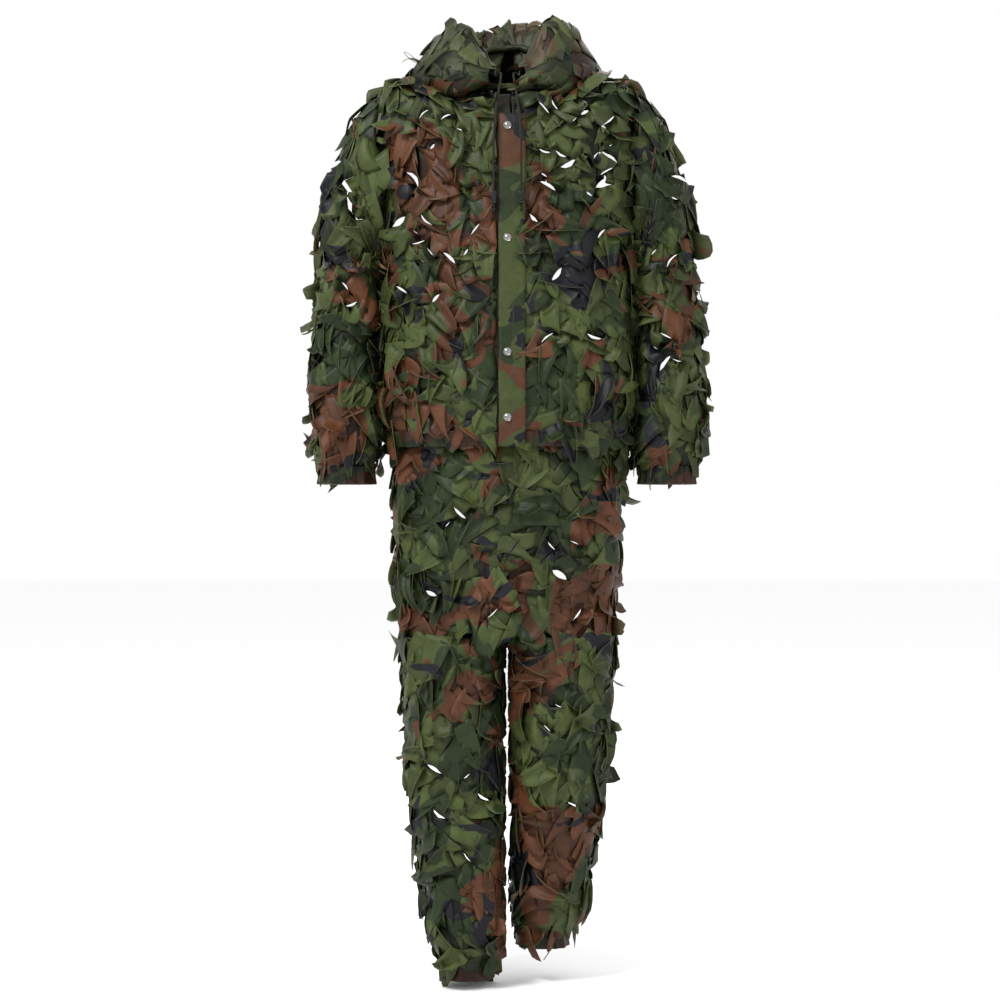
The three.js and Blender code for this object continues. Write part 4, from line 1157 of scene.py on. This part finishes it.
def quad_mesh(name, verts, faces, uvs, indices, leaf_shadings):
    """A smooth leaf mesh from arrays of points, quads, print coordinates and material numbers."""
    mesh = bpy.data.meshes.new(name)
    mesh.vertices.add(len(verts))
    mesh.vertices.foreach_set("co", verts.ravel())
    mesh.loops.add(faces.size)
    mesh.loops.foreach_set("vertex_index", faces.ravel().astype(np.int32))
    mesh.polygons.add(len(faces))
    mesh.polygons.foreach_set("loop_start", np.arange(0, faces.size, 4, dtype=np.int32))
    mesh.polygons.foreach_set("loop_total", np.full(len(faces), 4, dtype=np.int32))
    for finish in (leaf_face, leaf_reverse, cut_edge_and_sheen):
        mesh.materials.append(finish)
    mesh.polygons.foreach_set("material_index", indices.astype(np.int32))
    mesh.polygons.foreach_set("use_smooth", indices != 2)
    mesh.uv_layers.new(name="print").data.foreach_set("uv", uvs[faces.ravel()].ravel())
    painted_shading_map = np.stack([leaf_shadings, np.zeros(len(leaf_shadings))], 1)
    mesh.uv_layers.new(name="leaf").data.foreach_set("uv", painted_shading_map[faces.ravel()].ravel())
    mesh.update(calc_edges=True)
    made = bpy.data.objects.new(name, mesh)
    bpy.context.scene.collection.objects.link(made)
    return made

print("leaves can be laid")

# %% [markdown]
# Every section gets its leaves, and a few need care. They stop short of gathered hems, keep clear of
# the placket and of the middle between the legs, and hang a little past the jacket's hem. The
# shoulder has three sets: a flat yoke that stays with the jacket, a gusset under the arm, laid out as
# opened, and a sleeve top that goes with the arm. The hood's outer leaves point up over its crest and
# its inner ones hang into it, reverse side out.

# %% All the leaves
# how far from the middle line the leaves keep, and on which side of it they lie
PLACKET_CLEAR = {"left_front": (0.0115, 1), "right_front": (0.0172, -1)}
LEG_CLEAR = 0.0006  # leaves keep this far from the middle between the legs
hood_length = cloths["hood"].length
hood_crest = hood_length * HOOD_CREST
SHORT_OF_HEM = 0.016
PAST_HEM = 0.006
HOOD_LEAVES = {
    "hood_outer": {
        "size": 0.75, "lift": 0.7, "upwards": True, "free_tip": 0.0, "spread": 70, "painted_shading_from": HOOD_DARKER_SHADING,
        "ends": (0.028, hood_length - hood_crest + 0.016),
    },
    "hood_inner": {
        "size": 0.85, "lift": 0.6, "faces_out": 1, "spread": 40, "free_tip": 0.1, "painted_shading_from": HOOD_DARKER_SHADING,
        "ends": (hood_crest - 0.012, 0.004),
    },
}
plantings = []
for name, section in cloths.items():
    ends = (0.0, 0.0)
    if name.endswith(("lower_arm", "lower_leg")):
        ends = (0.0, SHORT_OF_HEM)
    if name.endswith(("back", "front")):
        ends = (0.0, -PAST_HEM)
    clear = PLACKET_CLEAR.get(name)
    if name.endswith(("thigh", "lower_leg")):
        clear = (LEG_CLEAR, 1 if name.startswith("left") else -1)
    if name.endswith("shoulder"):
        side_name = name.split("_")[0]
        seam, open_seam = section.down[2], section.down[1 + GUSSET_ROWS]
        plantings += [
            (name, f"{side_name}_yoke", "jacket", {"ends": (0.0, section.length - seam), "lift": 0.75}),
            (name, f"{side_name}_gusset", motions[name],
             {"lift": 0.3, "free_tip": 0.0, "cloth": gussets[side_name]}),
            (name, name, f"{side_name}_upper_arm", {"ends": (open_seam, 0.0)}),
        ]
    elif name == "hood":
        plantings += [(name, label, motions[name], choices) for label, choices in HOOD_LEAVES.items()]
    else:
        plantings.append((name, name, motions[name], {"clear": clear, "ends": ends}))

leaf_count = 0
leaf_pieces = {}
for number, (name, label, way, choices) in enumerate(plantings):
    section = choices.pop("cloth", cloths[name])
    piece, count = plant(f"{label}_leaves", section, 100 + number, **choices)
    follow(piece, way)
    leaf_pieces.setdefault(name, []).append(piece)
    leaf_count += count
print("leaves", leaf_count)

# %% [markdown]
# Each section's width is taken as its largest girth.

for name, section in cloths.items():
    width = float(max(section.girths))

# %% [markdown]
# ## Gathered hems
# The hem, cuffs, ankles and waist are tapes folded over elastic. Slack cloth pulled in by the
# elastic stands in small pleats. A casing's section is a flat closed loop, carried round the ring
# of its plain solid, and its outer wall is pushed out in pleats of uneven height. A cloth solver
# would gather it too, but slowly and never twice the same.

# %% Casings and their elastics
CASING_THICK = 0.0076
ELASTIC_THICK = 0.003
CASING_LOOP = [(0.03, 0), (0.16, 0), (0.38, 0), (0.62, 0), (0.84, 0), (0.97, 0), (1, 0.15), (1, 0.85),
               (0.96, 1), (0.5, 1), (0.04, 1), (0, 0.85), (0, 0.15)]

def band(name, solid, motion, finish, middle=(0, 0), thick=CASING_THICK, pleats=(0, 0.0),
         keep=None, columns=160, seed=1.0, print_at=(12, 0)):
    """A closed tape round a ring, or round the stretch of it that keep allows."""
    tree = surface_of(solid)
    low, high = [corner.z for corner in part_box(solid)]
    levels = np.linspace(high - 0.001, low + 0.001, 5)
    rings = [ring_of_points(tree, (*middle, z), (1, 0, 0), (0, 1, 0), 240) for z in levels]
    closed = keep is None
    if keep:
        rings = [kept_stretch(r, keep) for r in rings]
    section = Cloth([even_steps(r, columns, closed) for r in rings], closed, print_at)
    share = np.arange(columns) / (columns - (0 if closed else 1))
    count, height = pleats
    wander = np.array([noise.noise(Vector((a * 7, seed, 0.3))) for a in share])
    swell = np.array([0.6 + 0.7 * abs(noise.noise(Vector((a * 11, seed, 4.1)))) for a in share])
    wave = (0.5 + 0.5 * np.sin(2 * math.pi * (count * share + 1.3 * wander))) ** 1.5
    verts, uvs = [], []
    for down, depth in CASING_LOOP:
        place, _, _, outward = section.frame_at(share, np.full(columns, down * section.length))
        pinch = 0.55 + 0.45 * abs(2 * down - 1)
        push = height * wave * swell * pinch * (1 - 0.6 * depth) - depth * thick
        verts.append(place + outward * push[:, None])
        along = print_at[1] - down * section.length - depth * thick
        uvs += [(print_at[0] + a * section.girth, along) for a in share]
    loops = len(CASING_LOOP)
    faces = []
    for j in range(loops):
        for i in range(columns if closed else columns - 1):
            k, below = (i + 1) % columns, (j + 1) % loops
            faces.append((j * columns + i, below * columns + i, below * columns + k, j * columns + k))
    if not closed:
        faces.append(tuple(j * columns for j in range(loops)))
        faces.append(tuple(j * columns + columns - 1 for j in reversed(range(loops))))
    piece = solid_mesh(name, np.vstack(verts), faces, uvs, [finish])
    follow(piece, motion)
    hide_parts(solid)
    print(name, "girth", round(section.girth, 3))

def ring_middle(node):
    """The middle of a ring in plan, where its rays aim."""
    low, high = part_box(node)
    return ((low.x + high.x) / 2, (low.y + high.y) / 2)

HEM_MIDDLE = (0, BODY_MIDDLE_Y)
HEM_FOLD = 0.14  # the back hem ends and the front hems start on either side of this line
FLAP_KEEPS = {
    "left": lambda p: p[1] < 0 and 0.0155 < p[0] < HEM_FOLD - 0.0005,
    "right": lambda p: p[1] < 0 and 0.0005 - HEM_FOLD < p[0] < 0.0055,
}

def back_of_hem(p):
    """Whether a point lies on the back's stretch of the hem."""
    return p[1] >= 0 or abs(p[0]) >= HEM_FOLD + 0.0005

# The casings of the hems, cuffs and ankles are in the darkened print: painted shade under the cloth and
# leaves that hang over them.
band("back_hem_casing", "back_hem", "jacket", shade_darkened_print, HEM_MIDDLE, pleats=(26, 0.005),
     keep=back_of_hem, columns=300)
band("back_hem_band", "back_hem_elastic", "jacket", elastic_braid, HEM_MIDDLE,
     thick=ELASTIC_THICK, keep=back_of_hem)
for name, side in SIDES:
    cuff_middle = ring_middle(f"{name}_cuff")
    band(f"{name}_front_hem", f"{name}_flap_hem", f"{name}_front", shade_darkened_print, HEM_MIDDLE,
         pleats=(7, 0.004), keep=FLAP_KEEPS[name], columns=80)
    band(f"{name}_cuff_casing", f"{name}_cuff", f"{name}_forearm", shade_darkened_print, cuff_middle,
         pleats=(17, 0.0055), seed=side * 2.0)
    band(f"{name}_cuff_band", f"{name}_cuff_elastic", f"{name}_forearm", elastic_braid,
         cuff_middle, thick=ELASTIC_THICK)
    band(f"{name}_ankle_hem", f"{name}_ankle_casing", f"{name}_lower_leg", shade_darkened_print,
         ring_middle(f"{name}_ankle_casing"), pleats=(16, 0.0055), seed=side * 3.0, print_at=(12, side))
    band(f"{name}_ankle_band", f"{name}_ankle_elastic", f"{name}_lower_leg", elastic_braid,
         ring_middle(f"{name}_ankle_elastic"), thick=ELASTIC_THICK)
band("waist_tape", "waist_casing", "trousers", plain_print, pleats=(36, 0.003), columns=300)
band("waist_band", "waist_elastic", "trousers", elastic_braid, thick=ELASTIC_THICK)
band("neck_tape", "neck_band", "jacket", plain_print, (0, neck_centre.y), thick=2 * NECK_WALL)

# %% [markdown]
# ## Hood edge
# The face edge of the hood is a tunnel of plain cloth with the drawcord inside, and a metal eyelet
# at each end where the cord comes out. Both tubes follow the hood's roll at a fixed inset. The
# tunnel is puckered where the cord gathers it. The eyelet is a torus pressed flat, modelled once.

# %% Face edge, drawcord and eyelets
EDGE_INSET = 0.0085
EDGE_RADIUS = 0.006
EDGE_RISE = HOOD_LINE[-1][1] / 1000
EDGE_FROM = 17.0  # degrees from the throat
CORD_FROM = 13.5
EYELET_FROM = 15.7
EYELET_RADIUS = 0.00435
EYELET_WALL = 0.00165

def face_edge(from_degrees, count):
    """Points along the middle of the face edge's tunnel."""
    points = []
    for turn in np.radians(np.linspace(from_degrees, 360 - from_degrees, count)):
        folded = abs(math.atan2(math.sin(turn), math.cos(turn)))
        inset = EDGE_INSET / (0.25 + 0.75 * math.sin(min(folded, math.pi / 2)))
        points.append(hood_place(turn, -inset, EDGE_RISE))
    return np.array(points)

def gathers(along, angle):
    """Small puckers, where the cloth is gathered on the cord."""
    return 0.10 * math.sin(along * 330 + 1.5 * math.sin(angle)) + 0.06 * math.sin(along * 147 + angle)

# The tunnel is in the darkened print: painted shade along the hood's face edge.
edge_tunnel = tube_mesh("face_edge_tunnel", face_edge(EDGE_FROM, 260), EDGE_RADIUS, 14, shade_darkened_print,
                        ripple=gathers)
inner_cord = tube_mesh("hood_cord", face_edge(CORD_FROM, 120), CORD_DIAMETER / 2, 10, cord_braid)
edge_pieces = (
    (edge_tunnel, "hood_edge_casing", "plain_cloth"),
    (inner_cord, "hood_drawcord", "cord"),
)
for piece, node, slot in edge_pieces:
    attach(piece, "hood")
    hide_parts(node)

def centre_of(node):
    """The middle of a plain solid's box."""
    low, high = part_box(node)
    return (low + high) / 2

def place_copy(pattern, name, place, axis, body, node):
    """A copy of a piece modelled at the origin about +Z, with its own mesh, turned to an axis."""
    copy = pattern.copy()
    copy.data = pattern.data.copy()
    copy.name = name
    bpy.context.scene.collection.objects.link(copy)
    turn = Vector((0, 0, 1)).rotation_difference(Vector(axis)).to_matrix().to_4x4()
    copy.data.transform(turn)
    copy.data.transform(Matrix.Translation(place))
    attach(copy, body)
    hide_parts(node)
    return copy

def smooth_by_angle(piece, degrees):
    """Shades a piece smooth, except over edges sharper than an angle."""
    only(piece)
    bpy.ops.object.shade_smooth_by_angle(angle=math.radians(degrees))

bpy.ops.object.select_all(action="DESELECT")
bpy.ops.mesh.primitive_torus_add(major_radius=EYELET_RADIUS, minor_radius=EYELET_WALL, major_segments=40,
                                 minor_segments=12)
eyelet = bpy.context.object
eyelet.name = "eyelet_pattern"
bpy.ops.object.mode_set(mode="EDIT")
bpy.ops.mesh.select_all(action="SELECT")
bpy.ops.transform.resize(value=(1, 1, 0.5))
bpy.ops.object.mode_set(mode="OBJECT")
eyelet.data.materials.append(snap_metal)
smooth_by_angle(eyelet, 80)
edge_start = face_edge(EYELET_FROM, 200)
edge_ways = (edge_start[1] - edge_start[0], edge_start[-1] - edge_start[-2])
for (name, side), way in zip(SIDES, edge_ways):
    place_copy(eyelet, f"{name}_eyelet_ring", centre_of(f"{name}_eyelet"), way, "hood", f"{name}_eyelet")
bpy.data.objects.remove(eyelet, do_unlink=True)
print("tunnel faces", len(edge_tunnel.data.polygons), "cord faces", len(inner_cord.data.polygons))

# %% [markdown]
# A stray leaf has faded and curled up at the hood's right side, beside a pulled loop of thread.
# Both are small, but they break the outline. The leaf is one of the leaf forms, scaled down and
# turned to point away from the hood. The loop is a thin tube along a ring of points.

# %% Stray leaf and thread
STRAY_AT = (0.20, 0.90)  # its place: the share of the way round the hood, and of the way to the crest
STRAY_SIZE = 0.62
LOOP_RADIUS = 0.011
THREAD_RADIUS = 0.0005
stray_spot = np.array([STRAY_AT[0]]), np.array([STRAY_AT[1] * hood_crest])
root, sideways, downward, outward = [Vector(v[0]) for v in cloths["hood"].frame_at(*stray_spot)]
points, quads, _ = leaf_forms[list(LEAF_FORMS).index("rolled_back")]
stray_points = [root + (sideways * p[0] + outward * p[1] - downward * p[2]) * STRAY_SIZE for p in points]
stray = solid_mesh("stray_leaf", stray_points, quads, [(9 + p[0], p[1]) for p in points], [faded_leaf])
ring = [root + sideways * (0.012 + LOOP_RADIUS * math.sin(t))
        + outward * LOOP_RADIUS * (1.2 - 1.3 * math.cos(t)) for t in np.linspace(0, 2 * math.pi, 40)]
thread_loop = tube_mesh("thread_loop", ring, THREAD_RADIUS, 6, stitch_thread)
for piece in (stray, thread_loop):
    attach(piece, "hood")
print("stray leaf at", [round(x, 3) for x in root])

# %% [markdown]
# ## Placket
# The closure is two strips of plain print. The outer one has a free edge, two rows of stitches and
# the caps of four press studs. Rays from the front take the strip's shape from its plain solid, and
# slow noise makes its face and edges slightly uneven, as sewn tape is.

# %% Plackets
PLACKET_THICK = 0.0022
PLACKET_MARGIN = 0.0006
FACE_WAVE = 0.0009
EDGE_WAVE = 0.0012
placket_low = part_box("placket_flap")[0]
placket_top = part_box("placket_top")[1].z

def front_depth(tree, x, z):
    """How deep a ray from the front meets a solid, or None beside it."""
    hit = tree.ray_cast(Vector((x, -RAY_START, z)), Vector((0, 1, 0)))[0]
    return hit.y if hit else None

def strip(name, solids, motion, print_at, finish, columns):
    """A flat strip of cloth down the front, over its plain solids. Gives the solids' surface."""
    tree = surface_of(*solids)
    low = min(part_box(n)[0].z for n in solids) + 0.001
    high = max(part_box(n)[1].z for n in solids) - 0.001
    levels = np.linspace(high, low, 150)
    verts, uvs = [], []
    flap_low, flap_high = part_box(solids[1])
    across = np.linspace(flap_low.x + PLACKET_MARGIN, flap_high.x - PLACKET_MARGIN, columns)
    grid = np.full((len(levels), columns), np.nan)
    for j, z in enumerate(levels):
        for i, x in enumerate(across):
            depth = front_depth(tree, x, z)
            grid[j, i] = np.nan if depth is None else depth
    for i in range(columns):
        known = ~np.isnan(grid[:, i])
        grid[:, i] = np.interp(-levels, -levels[known], grid[known, i])
    for j, z in enumerate(levels):
        for i, x in enumerate(across):
            wave = FACE_WAVE * noise.noise(Vector((x * 20, z * 22, print_at[0])))
            edge = EDGE_WAVE * noise.noise(Vector((0.0, z * 14, print_at[0] + 5)))
            verts.append((x + edge, grid[j, i] + PLACKET_THICK / 2 + wave, z))
            uvs.append((print_at[0] + x, print_at[1] + z))
    piece = solid_mesh(name, verts, grid_faces(len(levels), columns, False), uvs, [finish])
    thicken(piece, PLACKET_THICK, outside=0.0)
    follow(piece, motion)
    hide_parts(*solids)
    return tree

placket_surface = strip("placket", ["placket_top", "placket_flap"], front_bends["left"], (14.0, 0.2),
                        plain_print, 9)
# The under placket is in the darkened print: a painted shadow in the gap beside the placket's free edge.
strip("under_placket", ["under_placket_top", "under_placket_flap"], front_bends["right"], (15.0, 0.3),
      shade_darkened_print, 6)
print("placket from", round(placket_top, 3), "to", round(placket_low.z, 3))

# %% [markdown]
# A stitch is a short length of thread that lies on the cloth and dips in at both ends. One is
# modelled as a bevelled cylinder, and a row is its copies in one mesh, pressed against the placket.

# %% Stitches
EDGE_STITCHES = 0.004  # from the placket's edge
SEAM_STITCHES = 0.0245
STITCH_LENGTH = 0.0030
STITCH_PITCH = 0.0042
bpy.ops.object.select_all(action="DESELECT")
bpy.ops.mesh.primitive_cylinder_add(vertices=6, radius=0.00045, depth=STITCH_LENGTH)
stitch = bpy.context.object
bpy.ops.object.mode_set(mode="EDIT")
bpy.ops.mesh.select_all(action="SELECT")
bpy.ops.mesh.bevel(offset=0.0002, segments=1)
bpy.ops.object.mode_set(mode="OBJECT")
stitch_points = np.array([v.co for v in stitch.data.vertices])
stitch_faces = [tuple(p.vertices) for p in stitch.data.polygons]
bpy.data.objects.remove(stitch, do_unlink=True)

def stitch_row(name, x, motion):
    """A row of stitches down the placket."""
    verts, faces = [], []
    for z in np.arange(placket_top - 0.006, placket_low.z + 0.006, -STITCH_PITCH):
        depth = front_depth(placket_surface, x, z)
        if depth is None:
            continue
        start = len(verts)
        verts += [(x + p[0], depth - 0.0001 + p[1], z + p[2]) for p in stitch_points]
        faces += [tuple(start + i for i in f) for f in stitch_faces]
    row = solid_mesh(name, verts, faces, [(14 + v[0], v[2]) for v in verts], [stitch_thread])
    follow(row, motion)
    print(name, "faces", len(row.data.polygons))

stitch_row("placket_edge_stitches", placket_low.x + EDGE_STITCHES, front_bends["left"])
stitch_row("placket_seam_stitches", placket_low.x + SEAM_STITCHES, front_bends["left"])

# %% [markdown]
# ## Press studs
# Each cap is a nickel disc with a rolled rim and a low dome, modelled once from a cylinder by
# insets and small moves, then copied to its four places. A smooth disc would catch one broad
# highlight, and the rolled rim catches a thin ring of light instead. The sockets and studs behind
# keep their own shapes.

# %% Caps
CAP_RADIUS = 0.0065
CAP_DEPTH = 0.0024
CAP_STEPS = [
    # how far in each ring of the face is drawn, and how far it is then raised
    (0.0007, 0.0), (0.0006, -0.0007), (0.0008, 0.0), (0.0006, 0.0006), (0.0014, 0.0004), (0.0012, 0.00015),
]
bpy.ops.object.select_all(action="DESELECT")
bpy.ops.mesh.primitive_cylinder_add(vertices=40, radius=CAP_RADIUS, depth=CAP_DEPTH)
cap = bpy.context.object
cap.name = "cap_pattern"

def front_faces(piece):
    """Selects, in edit mode, the face that looks along +Z and is highest."""
    bpy.ops.object.mode_set(mode="OBJECT")
    top = max(p.center.z for p in piece.data.polygons if len(p.vertices) > 30)
    for vertex in piece.data.vertices:
        vertex.select = False
    for edge in piece.data.edges:
        edge.select = False
    for p in piece.data.polygons:
        p.select = len(p.vertices) > 30 and p.normal.z > 0.9 and p.center.z > top - 1e-6
    bpy.ops.object.mode_set(mode="EDIT")
    bpy.ops.mesh.select_mode(type="FACE")

bpy.ops.object.mode_set(mode="EDIT")
front_faces(cap)
for inset, rise in CAP_STEPS:
    bpy.ops.mesh.inset(thickness=inset)
    bpy.ops.transform.translate(value=(0, 0, rise))
bpy.ops.object.mode_set(mode="OBJECT")
rounding = cap.modifiers.new("rounding", "BEVEL")
rounding.width = 0.00025
rounding.segments = 2
rounding.limit_method = "ANGLE"
only(cap)
bpy.ops.object.modifier_apply(modifier="rounding")
cap.data.materials.append(snap_metal)
smooth_by_angle(cap, 60)
for number in range(1, 5):
    body = "jacket" if number == 1 else "left_front"
    place_copy(cap, f"press_stud_cap_{number}", centre_of(f"snap_cap_{number}"), (0, -1, 0), body,
               f"snap_cap_{number}")
bpy.data.objects.remove(cap, do_unlink=True)
plain_nickel = plated("stud nickel")
for number in range(1, 5):
    for part in ("socket", "stud"):
        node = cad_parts[f"snap_{part}_{number}"]
        node.data.materials.clear()
        node.data.materials.append(plain_nickel)
print("caps placed", number)

# %% [markdown]
# ## Cord stops and knots
# A stop is a small moulded barrel with a hole for the cord and a sprung button in its front. It
# starts as a cube, gets round edges, a pocket and a bored hole. The button's face has fine ridges
# cut across it for grip. The knot is a short length of the same cord turned through itself, along a
# trefoil. A plain ball would do from afar, but the crossing strands show up close.

# %% Stops, buttons and knots
def boxed(name, low, high, bevel, segments=3):
    """A cube at its own size and place, with round edges."""
    bpy.ops.object.select_all(action="DESELECT")
    bpy.ops.mesh.primitive_cube_add(size=1, location=(low + high) / 2)
    piece = bpy.context.object
    piece.name = name
    piece.scale = high - low
    bpy.ops.object.transform_apply(location=True, rotation=True, scale=True)
    bpy.ops.object.mode_set(mode="EDIT")
    bpy.ops.mesh.select_all(action="SELECT")
    bpy.ops.mesh.bevel(offset=bevel, segments=segments, affect="EDGES")
    bpy.ops.object.mode_set(mode="OBJECT")
    return piece

def cut_away(piece, tool):
    """Cuts a tool out of a piece, and removes the tool."""
    only(piece)
    cut = piece.modifiers.new("cut", "BOOLEAN")
    cut.operation = "DIFFERENCE"
    cut.solver = "EXACT"
    cut.object = tool
    bpy.ops.object.modifier_apply(modifier="cut")
    bpy.data.objects.remove(tool, do_unlink=True)

STOP_BORE = 0.0027
GRIP_RIDGES = 5
RIDGE_RADIUS = 0.00035
BUTTON_GAP = 0.0004
POCKET_AHEAD = 0.004  # the pocket is open to the front
POCKET_BEHIND = 0.0012  # room for the button to be pressed in
KNOT_RADIUS = 0.0014
for name, side in SIDES:
    cord_x = side * cord_route[-1][0]
    low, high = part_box(f"{name}_cord_stop")
    stop = boxed(f"{name}_stop", low, high, 0.0016, 4)
    bpy.ops.object.select_all(action="DESELECT")
    bpy.ops.mesh.primitive_cylinder_add(vertices=28, radius=STOP_BORE, depth=0.03,
                                        location=(cord_x, CORD_HANG_Y, (low.z + high.z) / 2))
    cut_away(stop, bpy.context.object)
    button_low, button_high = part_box(f"{name}_stop_button")
    room = Vector((BUTTON_GAP, 0, BUTTON_GAP))
    pocket_low = button_low - room - Vector((0, POCKET_AHEAD, 0))
    pocket_high = button_high + room + Vector((0, POCKET_BEHIND, 0))
    cut_away(stop, boxed("pocket", pocket_low, pocket_high, 0.0002, 1))
    button = boxed(f"{name}_button_pad", button_low, button_high, 0.0004, 2)
    for ridge in range(GRIP_RIDGES):
        z = button_low.z + (button_high.z - button_low.z) * (ridge + 1) / (GRIP_RIDGES + 1)
        bpy.ops.object.select_all(action="DESELECT")
        bpy.ops.mesh.primitive_cylinder_add(vertices=12, radius=RIDGE_RADIUS, depth=0.02,
                                            rotation=(0, math.pi / 2, 0), location=(cord_x, button_low.y, z))
        cut_away(button, bpy.context.object)
    for piece, node, body in ((stop, "cord_stop", "stop"), (button, "stop_button", "button")):
        piece.data.materials.clear()
        piece.data.materials.append(stop_plastic)
        smooth_by_angle(piece, 30)
        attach(piece, f"{name}_{body}")
        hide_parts(f"{name}_{node}")
    middle = centre_of(f"{name}_cord_knot")
    turns = np.linspace(0.05, 2 * math.pi - 0.05, 90)
    loop = [(middle.x + 0.00062 * (math.sin(t) + 2 * math.sin(2 * t)), middle.y + 0.0009 * math.sin(3 * t),
             middle.z + 0.00078 * (math.cos(t) - 2 * math.cos(2 * t))) for t in turns]
    knot = tube_mesh(f"{name}_knot", loop, KNOT_RADIUS, 10, cord_braid)
    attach(knot, "jacket")
    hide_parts(f"{name}_cord_knot")
    piece, line, length = cords[name]
    print(name, "stop faces", len(stop.data.polygons), "knot faces", len(knot.data.polygons))
